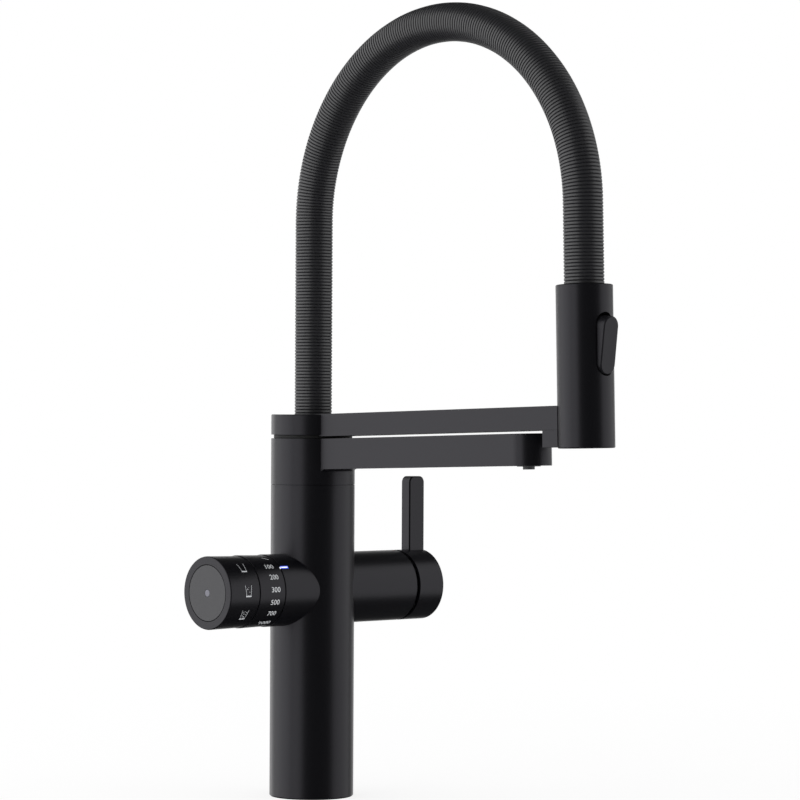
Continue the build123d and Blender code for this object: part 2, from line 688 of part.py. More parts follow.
def type_ring():
    """The outer ring, which sets how much gas the water has, with the seat of the start button."""
    body = rim(disc(CONTROL_RADIUS, TYPE_RING_START, DIAL_END), CONTROL_RADIUS, DIAL_END, EDGE)
    shoulder = DIAL_CORE_END - GAP
    body -= disc(DIAL_CORE_RADIUS + RUN, TYPE_RING_START, DIAL_END)
    body -= disc(BUTTON_RADIUS + BUTTON_SEAM, shoulder, DIAL_END)
    return cut_all(DIAL_SIDE * body, magnet_ring(TYPE_RING_START, SLIP))


def start_button():
    """The round push button in the dial's end, with its stem bored for the light guide."""
    button = disc(BUTTON_RADIUS, DIAL_END - BUTTON_THICKNESS, DIAL_END)
    button += disc(BUTTON_STEM_RADIUS, button_stem_end(), DIAL_END)
    return DIAL_SIDE * (button - disc(LENS_RADIUS + SLIP, button_stem_end(), DIAL_END))


def button_stem_end():
    """Where the button's stem ends, short of the push switch by the travel."""
    return push_switch_top() + BUTTON_TRAVEL + GAP


def push_switch_top():
    """The working face of the push switch on its board."""
    return BOARD_SEAT + BOARD_SIZE[2] + PUSH_SWITCH_SIZE[2]


def button_spring():
    """The button's return spring, drawn as the sleeve that its coils fill."""
    low = BOARD_SEAT + BOARD_SIZE[2]
    high = DIAL_END - BUTTON_THICKNESS
    return DIAL_SIDE * ring(SPRING_RADIUS, BUTTON_STEM_RADIUS + GAP, low, high)


def head_parts():
    """The pieces of the spray head."""
    return {
        "head_shell": head_shell(),
        "head_core": head_core(),
        "head_nipple": HEAD_FRAME * nipple(HEAD_LENGTH - HEAD_LID - GAP),
        "spray_plate": spray_plate(),
        "aerator": aerator(),
        "dock_plate": HEAD_FRAME * dock_plate_blank(0),
        "switch_pin": switch_frame() * Rot(90, 0, 0) * pin_blank(0),
        "spray_switch": spray_switch(),
    }


def foot_parts():
    """The pieces under and in the foot of the column."""
    worktop, rubber, steel, _ = clamp_heights()
    hole = SHANK_RADIUS + SLIP
    return {
        "base_plate": base_plate(),
        "base_gasket": ring(GASKET_OUTER, hole, 0, GASKET_THICKNESS),
        "shank": ring(SHANK_RADIUS, SHANK_BORE, -SHANK_LENGTH, GASKET_THICKNESS + SHANK_GRIP),
        "rubber_washer": ring(WASHER_RADIUS, hole, rubber, worktop),
        "steel_washer": ring(WASHER_RADIUS, hole, steel, rubber),
        "fixing_nut": fixing_nut(),
    }


def column_parts():
    """The column and the pieces inside it."""
    post_low = COLUMN_TOP - POST_ROOT
    return {
        "column": column(),
        "valve_block": valve_block(),
        "supply_tubes": supply_tubes(),
        "mixed_tube": tube(SUPPLY_TUBE_RADIUS, BLOCK_HIGH, post_low),
        "filter_tube": Pos(0, -SOCKET_CIRCLE) * tube(FILTER_TUBE_RADIUS, BASE_TOP, post_low),
        "swivel_post": swivel_post(),
        "glide_ring": ring(GLIDE_RADIUS, POST_RADIUS + SLIP, COLUMN_TOP, COLUMN_TOP + GLIDE_HEIGHT),
        "hub_spacer": ring(SPACER_RADIUS, POST_NECK_RADIUS + SLIP, SPACER_LOW, ARM_HUB_LOW - GAP),
        "post_nut": ring(RING_NUT_RADIUS, POST_TIP_RADIUS + SLIP, POST_SHOULDER, POST_SHOULDER + RING_NUT_HEIGHT),
    }


def arm_parts():
    """The spout, the holder arm and the hose."""
    return {
        "water_spout": water_spout(),
        "spout_outlet": outlet(),
        "holder_arm": holder_arm(),
        "dock_block": dock_block(),
        "dock_magnet": dock_magnet(),
        "hose_collar": hose_collar(),
        "hose_nipple": nipple(POST_SHOULDER + POST_TIP),
        "hose_sheath": hose_sheath(),
        "water_hose": water_hose(),
    }


def mixer_parts():
    """The cartridge and the lever."""
    return {
        "mixer_cartridge": mixer_cartridge(),
        "cartridge_nut": cartridge_nut(),
        "cartridge_turret": turret(),
        "stem_pin": MIXER_SIDE * stem_pin_blank(0),
        "lever_stem": lever_stem(),
        "lever_cap": lever_cap(),
        "lever_bar": lever_bar(),
        "lever_screw": lever_screw(),
    }


def dial_parts():
    """The sparkling water dial."""
    board_top = BOARD_SEAT + BOARD_SIZE[2]
    clip = ring(CLIP_RADIUS, CLIP_BORE, DIAL_CORE_END, DIAL_CORE_END + CLIP_THICKNESS)
    return {
        "dial_core": dial_core(),
        "index_light": index_slot(0),
        "sensor_board": DIAL_SIDE * block(*BOARD_SIZE[:2], BOARD_SEAT, board_top),
        "push_switch": DIAL_SIDE * block(*PUSH_SWITCH_SIZE[:2], board_top, push_switch_top()),
        "core_clip": DIAL_SIDE * clip,
        "button_spring": button_spring(),
        "volume_ring": volume_ring(),
        "volume_magnets": magnet_ring(VOLUME_RING_START, 0),
        "type_ring": type_ring(),
        "type_magnets": magnet_ring(TYPE_RING_START, 0),
        "start_button": start_button(),
        "light_guide": DIAL_SIDE * disc(LENS_RADIUS, button_stem_end(), DIAL_END),
    }


def main():
    os.makedirs("parts", exist_ok=True)
    nodes = {}
    for group in (foot_parts, column_parts, arm_parts, head_parts, mixer_parts, dial_parts):
        nodes.update(group())
    for name, shape in nodes.items():
        solids = shape if isinstance(shape, list) else shape.solids()
        export_step(Compound(children=[Solid(s.solids()[0].wrapped) for s in solids]), f"parts/{name}.step")
    print(len(nodes), "pieces, hose line", round(ARCH.length, 1), "arch radius", round(ARCH.radius, 1))


main()
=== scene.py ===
"""Finishes a packed kitchen tap with a sparkling water dial: eased edges, ribbed hose, print and studio."""

import math

import bpy
from mathutils import Matrix, Quaternion, Vector


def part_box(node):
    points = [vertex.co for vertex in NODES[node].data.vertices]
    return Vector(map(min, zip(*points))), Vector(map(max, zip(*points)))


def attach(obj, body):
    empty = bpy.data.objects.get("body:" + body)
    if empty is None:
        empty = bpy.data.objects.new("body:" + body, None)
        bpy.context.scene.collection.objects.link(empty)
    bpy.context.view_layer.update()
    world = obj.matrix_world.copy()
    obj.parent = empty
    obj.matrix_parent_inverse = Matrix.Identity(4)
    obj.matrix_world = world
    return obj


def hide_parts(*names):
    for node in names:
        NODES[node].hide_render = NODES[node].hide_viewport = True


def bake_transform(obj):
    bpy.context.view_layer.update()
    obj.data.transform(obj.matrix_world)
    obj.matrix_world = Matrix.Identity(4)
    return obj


bl_info = {
    "name": "Sparkling water kitchen tap",
    "version": (1, 0, 0),
    "blender": (4, 5, 0),
    "location": "3D View > Sidebar > Tap",
    "description": "Finishes the packed tap: eased edges, ribbed hose, dial print, materials and studio",
    "category": "Object",
}

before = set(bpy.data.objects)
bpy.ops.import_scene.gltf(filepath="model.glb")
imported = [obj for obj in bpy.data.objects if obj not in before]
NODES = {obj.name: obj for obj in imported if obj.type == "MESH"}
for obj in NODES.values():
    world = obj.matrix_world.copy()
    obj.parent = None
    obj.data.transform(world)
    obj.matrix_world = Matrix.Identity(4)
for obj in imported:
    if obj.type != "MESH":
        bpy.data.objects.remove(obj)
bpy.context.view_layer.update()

MM = 0.001

# What counts as sharp, smooth, flat, merged and in place when a mesh is worked.
SHARP = math.radians(35)
SMOOTH = math.radians(42)
FLAT = math.radians(0.5)
MERGED = 0.001 * MM
RING_MERGED = 0.01 * MM
IN_PLACE = 0.05 * MM
ROUND_STEPS = 96

# The hose's line, as the CAD has it.
ARM_RISE = math.radians(1.54)
HOSE_FOOT = 240.3 * MM
HOSE_TOP = 500.0 * MM
HOSE_RADIUS = 12.0 * MM
HEAD_FOOT = Vector((242.0 * MM, 0, 226.2 * MM))
HEAD_SEAT = 92.6 * MM
HEAD_UP = Vector((-math.sin(ARM_RISE), 0, math.cos(ARM_RISE)))
HOSE_END = HEAD_FOOT + HEAD_UP * HEAD_SEAT

# The round sides of the tap: a point on the axis, its direction and the radius.
UPRIGHT = (Vector((0, 0, 0)), Vector((0, 0, 1)), 27.0 * MM)
CONTROLS = (Vector((0, 0, 133.2 * MM)), Vector((0, 1, 0)), 23.05 * MM)
HEAD_SIDE = (HEAD_FOOT, HEAD_UP, 17.0 * MM)
ON_SURFACE = 0.02 * MM
ALIGNED = 0.99

# Where pieces end along those axes, as the CAD has them.
COLUMN_TOP = 200.2 * MM
SPOUT_HUB_ENDS = (200.5 * MM, 229.9 * MM)
HEAD_ENDS = (0, 96.6 * MM)
SLEEVE_ENDS = (-42.4 * MM, 71.5 * MM)
CAP_ENDS = (74.6 * MM, 95.8 * MM)
VOLUME_RING_START = -42.7 * MM
TYPE_RING_START = -64.0 * MM

# The camera, fitted to the photograph.
CAMERA_PLACE = Vector((1.538951, -1.375594, 0.245255))
CAMERA_AIM = Vector((0.039240, 0.039830, 0.254950))
CAMERA_ROLL = math.radians(0.287)
CAMERA_LENS = 144.01
CAMERA_SENSOR = 36.0
CAMERA_REACH = 20


def linear(hex_colour):
    """A linear RGB colour from an sRGB hex value."""
    parts = [int(hex_colour[i : i + 2], 16) / 255 for i in (0, 2, 4)]
    return tuple(c / 12.92 if c <= 0.04045 else ((c + 0.055) / 1.055) ** 2.4 for c in parts)


# ---------------------------------------- settings


class TapSizes(bpy.types.PropertyGroup):
    """Sizes of the finishing work."""

    edge: bpy.props.FloatProperty(
        name="Edge", description="Width of the eased edges", default=0.25 * MM, unit="LENGTH"
    )
    rib_pitch: bpy.props.FloatProperty(
        name="Rib pitch", description="Length of one rib of the hose", default=2.05 * MM, unit="LENGTH"
    )
    rib_depth: bpy.props.FloatProperty(
        name="Rib depth", description="Depth of the hose's grooves", default=0.6 * MM, unit="LENGTH"
    )
    hose_sides: bpy.props.IntProperty(
        name="Hose sides", description="Sides of the hose's circle", default=32
    )
    thread_pitch: bpy.props.FloatProperty(
        name="Thread pitch", description="Pitch of the clamp's thread", default=1.5 * MM, unit="LENGTH"
    )
    print_lift: bpy.props.FloatProperty(
        name="Print", description="Thickness of the dial's print", default=0.03 * MM, unit="LENGTH"
    )
    digit: bpy.props.FloatProperty(
        name="Digit", description="Height of the dial's numbers", default=3.4 * MM, unit="LENGTH"
    )
    cup: bpy.props.FloatProperty(
        name="Cup", description="Height of the dial's cup signs", default=7.0 * MM, unit="LENGTH"
    )


class TapColours(bpy.types.PropertyGroup):
    """Colours of the finishes."""

    coat: bpy.props.FloatVectorProperty(
        name="Coat", description="Black powder coat", default=linear("07070A"), subtype="COLOR"
    )
    ink: bpy.props.FloatVectorProperty(
        name="Print", description="Pad print of the dial", default=linear("C9CBCE"), subtype="COLOR"
    )
    hot: bpy.props.FloatVectorProperty(
        name="Hot", description="Mark of the hot side", default=linear("6A2428"), subtype="COLOR"
    )
    cold: bpy.props.FloatVectorProperty(
        name="Cold", description="Mark of the cold side", default=linear("26345E"), subtype="COLOR"
    )
    glow: bpy.props.FloatVectorProperty(
        name="Glow", description="Light of the dial's index", default=linear("F2F5FF"), subtype="COLOR"
    )
    # The halo colour is painted as glow on a thin frame round the index, standing in for the light it
    # throws on the coat.
    halo: bpy.props.FloatVectorProperty(
        name="Halo", description="Blue edge of the index light", default=linear("3A4FD0"), subtype="COLOR"
    )


# ---------------------------------------- materials


def add_node(tree, kind, inputs=None, **settings):
    """Adds a node with its settings, and sets or links its inputs."""
    node = tree.nodes.new(kind)
    for name, value in settings.items():
        setattr(node, name, value)
    for socket, value in (inputs or {}).items():
        if isinstance(value, bpy.types.NodeSocket):
            tree.links.new(value, node.inputs[socket])
        else:
            node.inputs[socket].default_value = value
    return node


def start_material(name):
    """A named material with an empty node tree, and whether it is new."""
    known = bpy.data.materials.get(name)
    if known:
        return known, False
    material = bpy.data.materials.new(name)
    material.use_nodes = True
    material.node_tree.nodes.clear()
    return material, True


def principled(name, grain=None, **sockets):
    """A finish on one principled surface, with a fine grain of a real size and height if it has one."""
    material, fresh = start_material(name)
    if not fresh:
        return material
    tree = material.node_tree
    inputs = {socket.replace("_", " "): value for socket, value in sockets.items()}
    if grain:
        size, height = grain
        place = add_node(tree, "ShaderNodeTexCoord")
        bumps = add_node(tree, "ShaderNodeTexNoise", {"Vector": place.outputs["Object"], "Scale": 1 / size})
        inputs["Normal"] = add_node(
            tree, "ShaderNodeBump", {"Height": bumps.outputs["Fac"], "Distance": height}
        ).outputs["Normal"]
    surface = add_node(tree, "ShaderNodeBsdfPrincipled", inputs)
    add_node(tree, "ShaderNodeOutputMaterial", {"Surface": surface.outputs["BSDF"]})
    return material


def opaque(colour):
    """A colour with its alpha."""
    return (*colour, 1.0)


# The tint of what black plastics and coats mirror: slightly cooler than the lamps.
SHEEN = (0.93, 0.91, 1.0)
WHITE = (1.0, 1.0, 1.0)


def powder_coat():
    # Satin powder coat on brass: a deep black with broad, soft highlights that brighten towards the edges.
    # The skin's 0.3 mm waves are drawn twice as coarse.
    coat = bpy.context.scene.tap_colours.coat
    return principled(
        "satin_black_powder_coat",
        grain=(0.6 * MM, 0.0015 * MM),
        Base_Color=opaque(coat),
        Roughness=0.33,
        IOR=1.5,
        Specular_Tint=opaque(SHEEN),
    )


def button_skin():
    # Satin anodised aluminium, dyed grey black: a little lighter and more even than the coat.
    return principled(
        "anodised_grey_black_aluminium", Base_Color=opaque(linear("38383B")), Roughness=0.42, IOR=1.5
    )


def black_nylon():
    # Moulded glass filled nylon: a dull black that swallows the light in the gaps.
    return principled(
        "moulded_black_nylon", Base_Color=opaque(linear("121213")), Roughness=0.6, Specular_IOR_Level=0.4
    )


def rocker_skin():
    # Moulded ABS with a fine spark eroded texture: close to the coat, a little duller.
    return principled(
        "moulded_black_abs",
        Base_Color=opaque(linear("101013")),
        Roughness=0.42,
        Specular_Tint=opaque(SHEEN),
    )


def hose_skin():
    # Extruded soft PVC: matt black, each rib with its own dim highlight.
    return principled(
        "extruded_black_pvc", Base_Color=opaque(linear("1A1A1E")), Roughness=0.4, Specular_IOR_Level=1.0
    )


def inner_hose_skin():
    # Cross-linked polyethylene hose: milky grey, slightly waxy.
    return principled("milky_pex_hose", Base_Color=opaque(linear("B9BCBE")), Roughness=0.45, IOR=1.5)


def seal_skin():
    # Moulded EPDM rubber: flat black without a clear highlight.
    return principled(
        "moulded_epdm_rubber", Base_Color=opaque(linear("1E1E1E")), Roughness=0.75, Specular_IOR_Level=0.3
    )


def brass():
    # Machined brass: warm yellow metal with a fine turned surface that blurs what it mirrors.
    return principled(
        "machined_brass",
        grain=(0.2 * MM, 0.001 * MM),
        Base_Color=opaque(linear("C9A45A")),
        Metallic=1.0,
        Roughness=0.32,
    )


def steel():
    # Drawn stainless steel: cool grey metal, softly bright.
    return principled(
        "drawn_stainless_steel", Base_Color=opaque(linear("B4B5B6")), Metallic=1.0, Roughness=0.28
    )


def grey_acetal():
    # Moulded grey acetal: smooth and slightly greasy to the eye.
    return principled("moulded_grey_acetal", Base_Color=opaque(linear("3B3C3E")), Roughness=0.42, IOR=1.48)


def white_acetal():
    # Moulded natural acetal: off white with a soft sheen.
    return principled("moulded_white_acetal", Base_Color=opaque(linear("DADBD6")), Roughness=0.4, IOR=1.48)


def lit_lens():
    # Frosted acrylic lit from behind by a white diode: an even cool white.
    glow = bpy.context.scene.tap_colours.glow
    return principled(
        "frosted_lit_acrylic",
        Base_Color=opaque(linear("D8DEE4")),
        Roughness=0.35,
        IOR=1.49,
        Emission_Color=opaque(glow),
        Emission_Strength=0.7,
    )


def magnet_skin():
    # Nickel plated neodymium: bright, slightly yellow metal.
    return principled(
        "nickel_plated_magnet", Base_Color=opaque(linear("C2BEB4")), Metallic=1.0, Roughness=0.2
    )


def board_skin():
    # Solder resist on glass fibre: deep green and glossy.
    return principled("green_solder_resist", Base_Color=opaque(linear("1F4D33")), Roughness=0.3, IOR=1.5)


def painted_index_glow():
    # Painted glow: the blue fringe of light that the lit index throws on the coat round it, painted as a
    # glowing frame on the coat.
    halo = bpy.context.scene.tap_colours.halo
    return principled(
        "painted_blue_light_fringe",
        Base_Color=opaque(halo),
        Roughness=0.5,
        Emission_Color=opaque(halo),
        Emission_Strength=0.9,
    )


def button_lens_skin():
    # Frosted acrylic, dimly lit: a soft grey white spot.
    return principled(
        "frosted_dim_acrylic",
        Base_Color=opaque(linear("6C6C76")),
        Roughness=0.5,
        Emission_Color=opaque(linear("C8CAD6")),
        Emission_Strength=0.03,
    )


def print_ink():
    # Pad print ink: thin, matt and even.
    ink = bpy.context.scene.tap_colours.ink
    return principled("white_pad_print", Base_Color=opaque(ink), Roughness=0.7, Specular_IOR_Level=0.3)


def hot_ink():
    # Enamel dot, dull red.
    hot = bpy.context.scene.tap_colours.hot
    return principled("red_enamel_dot", Base_Color=opaque(hot), Roughness=0.5)


def cold_ink():
    # Enamel dot, dull blue.
    cold = bpy.context.scene.tap_colours.cold
    return principled("blue_enamel_dot", Base_Color=opaque(cold), Roughness=0.5)


FINISHES = {
    "black_paint": powder_coat,
    "button_face": button_skin,
    "black_plastic": black_nylon,
    "hose_rubber": hose_skin,
    "inner_hose": inner_hose_skin,
    "seal_rubber": seal_skin,
    "brass": brass,
    "steel": steel,
    "grey_plastic": grey_acetal,
    "white_plastic": white_acetal,
    "light_lens": lit_lens,
    "magnet_nickel": magnet_skin,
    "circuit_board": board_skin,
}


# ---------------------------------------- modelling by hand


GAP_DEPTH = 0.45 * MM


def clear_selection():
    """Leaves object mode with nothing selected."""
    if bpy.context.object and bpy.context.object.mode != "OBJECT":
        edit_done()
    bpy.ops.object.select_all(action="DESELECT")


def take(piece):
    """Makes a piece the only one that is selected and active."""
    clear_selection()
    bpy.context.view_layer.objects.active = piece
    piece.select_set(True)


def edit_all():
    """Starts edit mode with everything selected."""
    bpy.ops.object.mode_set(mode="EDIT")
    bpy.ops.mesh.select_all(action="SELECT")


def edit_done():
    """Goes back to object mode."""
    bpy.ops.object.mode_set(mode="OBJECT")


def pick(piece, kind, test):
    """Selects the faces or edges of a piece by their place and their direction, and stays in edit mode."""
    bpy.ops.object.mode_set(mode="EDIT")
    bpy.ops.mesh.select_mode(type=kind)
    bpy.ops.mesh.select_all(action="DESELECT")
    edit_done()
    mesh = piece.data
    if kind == "FACE":
        for face in mesh.polygons:
            face.select = test(face.center, face.normal)
    else:
        for edge in mesh.edges:
            first, second = (mesh.vertices[i].co for i in edge.vertices)
            edge.select = test((first + second) / 2, second - first)
    bpy.ops.object.mode_set(mode="EDIT")


def ease(piece, width, where=None, segments=2):
    """Bevels the sharp edges of a piece, all of them or those at a place."""
    take(piece)
    bpy.ops.object.mode_set(mode="EDIT")
    bpy.ops.mesh.select_mode(type="EDGE")
    bpy.ops.mesh.select_all(action="DESELECT")
    bpy.ops.mesh.edges_select_sharp(sharpness=SHARP)
    if where:
        edit_done()
        points = piece.data.vertices
        for edge in piece.data.edges:
            first, second = (points[i].co for i in edge.vertices)
            edge.select = edge.select and where((first + second) / 2)
        bpy.ops.object.mode_set(mode="EDIT")
    bpy.ops.mesh.bevel(offset=width, segments=segments, affect="EDGES", clamp_overlap=True)
    edit_done()


def dressed(node, name, where=None, width=None):
    """A merged copy of a CAD node with its sharp edges eased."""
    piece = bpy.data.objects.new(name, NODES[node].data.copy())
    bpy.context.collection.objects.link(piece)
    take(piece)
    bpy.ops.mesh.customdata_custom_splitnormals_clear()
    edit_all()
    bpy.ops.mesh.remove_doubles(threshold=MERGED)
    bpy.ops.mesh.dissolve_limited(angle_limit=FLAT)
    edit_done()
    ease(piece, width or bpy.context.scene.tap_sizes.edge, where)
    return piece


def apply_modifier(piece, kind, **settings):
    """Adds a modifier with its settings and applies it."""
    take(piece)
    modifier = piece.modifiers.new(kind.lower(), kind)
    for name, value in settings.items():
        setattr(modifier, name, value)
    bpy.ops.object.modifier_apply(modifier=modifier.name)


def apply_place(piece):
    """Moves a piece's place, turn and scale into its mesh."""
    take(piece)
    bpy.ops.object.transform_apply(location=True, rotation=True, scale=True)


def join(pieces, name):
    """One piece from several."""
    take(pieces[0])
    for piece in pieces:
        piece.select_set(True)
    bpy.ops.object.join()
    pieces[0].name = name
    return pieces[0]


def face_outwards(piece):
    """Merges the doubles of a closed piece and turns its faces outwards."""
    take(piece)
    edit_all()
    bpy.ops.mesh.remove_doubles(threshold=MERGED)
    bpy.ops.mesh.normals_make_consistent(inside=False)
    edit_done()


def spoke(place, round_side):
    """The line from a cylinder's axis out to a place."""
    foot, axis, _ = round_side
    away = place - foot
    return away - axis * away.dot(axis)


def shade_round(piece, round_sides):
    """Gives the faces that lie on a cylinder its exact normals, so that slim facets leave no streaks."""
    mesh = piece.data
    normals = [Vector(corner.vector) for corner in mesh.corner_normals]
    for face in mesh.polygons:
        for side in round_sides:
            spokes = [spoke(mesh.vertices[i].co, side) for i in face.vertices]
            facing = face.normal.dot(spoke(face.center, side).normalized())
            on_it = all(abs(each.length - side[2]) < ON_SURFACE for each in spokes)
            if on_it and abs(facing) > ALIGNED:
                for corner, each in zip(face.loop_indices, spokes):
                    normals[corner] = each.normalized() * math.copysign(1, facing)
                break
    mesh.normals_split_custom_set(normals)


def shadow_gap(piece, end, reach):
    """Steps back the round end of a piece of the controls, so that the seam there reads as a dark line."""
    foot, _, radius = CONTROLS
    within = radius - GAP_DEPTH
    step = end + reach
    near = step - math.copysign(ON_SURFACE, reach)
    take(piece)
    bpy.ops.object.mode_set(mode="EDIT")
    for side in (step, near):
        bpy.ops.mesh.select_all(action="SELECT")
        bpy.ops.mesh.bisect(plane_co=(0, side, 0), plane_no=(0, 1, 0))
    limit = (step + 3 * near) / 4

    def on_the_step(place, run):
        return (place.y - limit) * reach < 0 and math.hypot(place.x, place.z - foot.z) > within

    pick(piece, "EDGE", on_the_step)
    factor = within / radius
    bpy.ops.transform.resize(value=(factor, 1, factor), center_override=foot)
    edit_done()
    return piece


def settle(piece, slot, body, *replaced, material=None, round_sides=()):
    """Smooths a finished piece, gives it its finish and sets it on its body."""
    take(piece)
    bpy.ops.object.shade_smooth_by_angle(angle=SMOOTH)
    apply_modifier(piece, "WEIGHTED_NORMAL", keep_sharp=True)
    if round_sides:
        shade_round(piece, round_sides)
    piece.data.materials.clear()
    piece.data.materials.append(material or FINISHES[slot]())
    if body:
        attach(piece, body)
    if replaced:
        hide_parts(*replaced)
    return piece


def refinish(node, name, slot, body, width=None, **looks):
    """Dresses a CAD node and settles it in the node's place."""
    settle(dressed(node, name, width=width), slot, body, node, **looks)


def ends_at(side, *reaches):
    """A test for edges at given places along the axis of a round side."""
    foot, axis, _ = side
    return lambda place: any(abs((place - foot).dot(axis) - reach) < IN_PLACE for reach in reaches)


# ---------------------------------------- hose


HOSE_STEPS = 64
RIB_SHOULDERS = (0.22, 0.78)
SHEATH_BORE = 9.0 * MM
BORE_CUTS = 90
INNER_RADIUS = 7.0 * MM
INNER_BORE = 5.1 * MM
INNER_INSET = 4.0 * MM
INNER_RINGS = 90


def hose_line():
    """The hose's centre line as a curve, and its length: up, two quarter arcs over, down into the head."""
    top = HOSE_TOP - HOSE_RADIUS
    lean, rise = math.sin(ARM_RISE), math.cos(ARM_RISE)
    radius = (HOSE_END.x * rise + (HOSE_END.z - top) * lean) / (1 + rise - lean)
    centre = Vector((radius, 0, top - radius))
    turn = math.pi - ARM_RISE
    reach = radius * math.tan(turn / 8) * 4 / 3
    stations = [(Vector((0, 0, HOSE_FOOT)), Vector((0, 0, 1)))]
    for step in range(3):
        angle = turn * step / 2
        place = centre + radius * Vector((-math.cos(angle), 0, math.sin(angle)))
        stations.append((place, Vector((math.sin(angle), 0, math.cos(angle)))))
    stations.append((HOSE_END, -HEAD_UP))
    clear_selection()
    bpy.ops.curve.primitive_bezier_curve_add()
    line = bpy.context.object
    line.name = "hose_line"
    spline = line.data.splines[0]
    spline.bezier_points.add(len(stations) - 2)
    for index, (place, heading) in enumerate(stations):
        point = spline.bezier_points[index]
        point.handle_left_type = point.handle_right_type = "FREE"
        before = reach if index in (2, 3) else (place - stations[index - 1][0]).length / 3
        after = reach if index in (1, 2) else (stations[(index + 1) % len(stations)][0] - place).length / 3
        point.co = place
        point.handle_left = place - heading * before
        point.handle_right = place + heading * after
    line.data.resolution_u = HOSE_STEPS
    line.data.twist_mode = "MINIMUM"
    straights = (stations[1][0] - stations[0][0]).length, (HOSE_END - stations[3][0]).length
    return line, straights[0] + radius * turn + straights[1]


def tube_along(line, name, start, length, rings, bore, count):
    """A tube with repeated rings, modelled straight, arrayed and bent along a line."""
    sides = bpy.context.scene.tap_sizes.hose_sides
    pitch = length / count
    clear_selection()
    bpy.ops.mesh.primitive_circle_add(
        vertices=sides, radius=rings[0][1], location=(start, 0, 0), rotation=(0, math.pi / 2, 0)
    )
    piece = bpy.context.object
    piece.name = name
    apply_place(piece)
    edit_all()
    along, radius = 0, rings[0][1]
    for share, next_radius in (*rings[1:], (1, rings[0][1])):
        step = pitch * (share - along)
        bpy.ops.mesh.extrude_region_move(TRANSFORM_OT_translate={"value": (step, 0, 0)})
        scale = next_radius / radius
        bpy.ops.transform.resize(value=(1, scale, scale), center_override=(start + pitch * share, 0, 0))
        along, radius = share, next_radius
    edit_done()
    apply_modifier(
        piece,
        "ARRAY",
        count=count,
        use_relative_offset=False,
        use_constant_offset=True,
        constant_offset_displace=(pitch, 0, 0),
        use_merge_vertices=True,
        merge_threshold=RING_MERGED,
    )
    ends = (start, start + length)
    pick(piece, "EDGE", lambda place, heading: any(abs(place.x - end) < RING_MERGED for end in ends))
    bpy.ops.mesh.extrude_region_move()
    scale = bore / rings[0][1]
    bpy.ops.transform.resize(value=(1, scale, scale), center_override=(start + length / 2, 0, 0))
    bpy.ops.mesh.bridge_edge_loops(number_cuts=BORE_CUTS)
    edit_done()
    apply_modifier(piece, "CURVE", object=line, deform_axis="POS_X")
    face_outwards(piece)
    return piece


# ---------------------------------------- print on the dial


DOT_SIDES = 12
LETTER_STEPS = 3
LETTER_WEIGHT = 0.006
CUP_TOP = 2.6 * MM
CUP_BASE = 1.75 * MM
CUP_LINE = 0.24 * MM
CUP_FLOOR = 0.9 * MM
CUP_FLOOR_RISE = 0.15 * MM


def bar(start, end, width):
    """A flat bar between two points of a drawing."""
    across = Vector(end) - Vector(start)
    middle = (Vector(start) + Vector(end)) / 2
    clear_selection()
    bpy.ops.mesh.primitive_plane_add(size=1, location=(middle.x, middle.y, 0))
    piece = bpy.context.object
    piece.scale = (across.length + width, width, 1)
    piece.rotation_euler.z = math.atan2(across.y, across.x)
    apply_place(piece)
    return piece


def dot(place, radius):
    """A flat round dot of a drawing."""
    clear_selection()
    bpy.ops.mesh.primitive_circle_add(
        vertices=DOT_SIDES, radius=radius, fill_type="NGON", location=(place[0], place[1], 0)
    )
    piece = bpy.context.object
    apply_place(piece)
    return piece


def number(text, length, height):
    """A flat number of a given length and height, centred."""
    clear_selection()
    bpy.ops.object.text_add(location=(0, 0, 0))
    lettering = bpy.context.object
    lettering.data.body = text
    lettering.data.resolution_u = LETTER_STEPS
    lettering.data.offset = LETTER_WEIGHT
    bpy.ops.object.convert(target="MESH")
    piece = bpy.context.object
    bpy.ops.object.origin_set(type="GEOMETRY_ORIGIN", center="BOUNDS")
    piece.location = (0, 0, 0)
    piece.scale = (length / piece.dimensions.x, height / piece.dimensions.y, 1)
    apply_place(piece)
    return piece


def cup_sign(bubbles):
    """A drinking cup in outline with its bubbles, centred."""
    height = bpy.context.scene.tap_sizes.cup
    low, high = -height / 2, height / 2
    floor = low + CUP_FLOOR_RISE
    strokes = [
        bar((-CUP_BASE, low), (-CUP_TOP, high), CUP_LINE),
        bar((CUP_BASE, low), (CUP_TOP, high), CUP_LINE),
        bar((-CUP_BASE, floor), (CUP_BASE, floor), CUP_FLOOR),
    ]
    strokes += [dot((x * MM, y * MM), radius * MM) for x, y, radius in bubbles]
    return join(strokes, "cup_sign")


def lay_on(piece, side, angle, lift=0):
    """Stands a flat drawing on the round side of the controls, its up the way the angle grows."""
    foot, right, radius = CONTROLS
    outwards = Vector((math.cos(angle), 0, math.sin(angle)))
    up = Vector((-math.sin(angle), 0, math.cos(angle)))
    place = outwards * (radius + lift) + foot + right * side
    turn = Matrix((right, up, outwards)).transposed().to_4x4()
    piece.matrix_world = Matrix.Translation(place) @ turn
    apply_place(piece)
    return piece


def pressed_on(drawings, target, name, cuts=3):
    """Joins flat drawings, lays them on a round surface and gives them their thickness."""
    piece = join(drawings, name)
    lift = bpy.context.scene.tap_sizes.print_lift
    edit_all()
    bpy.ops.mesh.quads_convert_to_tris()
    bpy.ops.mesh.subdivide(number_cuts=cuts)
    edit_done()
    apply_modifier(piece, "SHRINKWRAP", target=target, wrap_mode="ABOVE_SURFACE", offset=lift)
    apply_modifier(piece, "SOLIDIFY", thickness=lift, offset=-1)
    face_outwards(piece)
    return piece


# ---------------------------------------- pieces


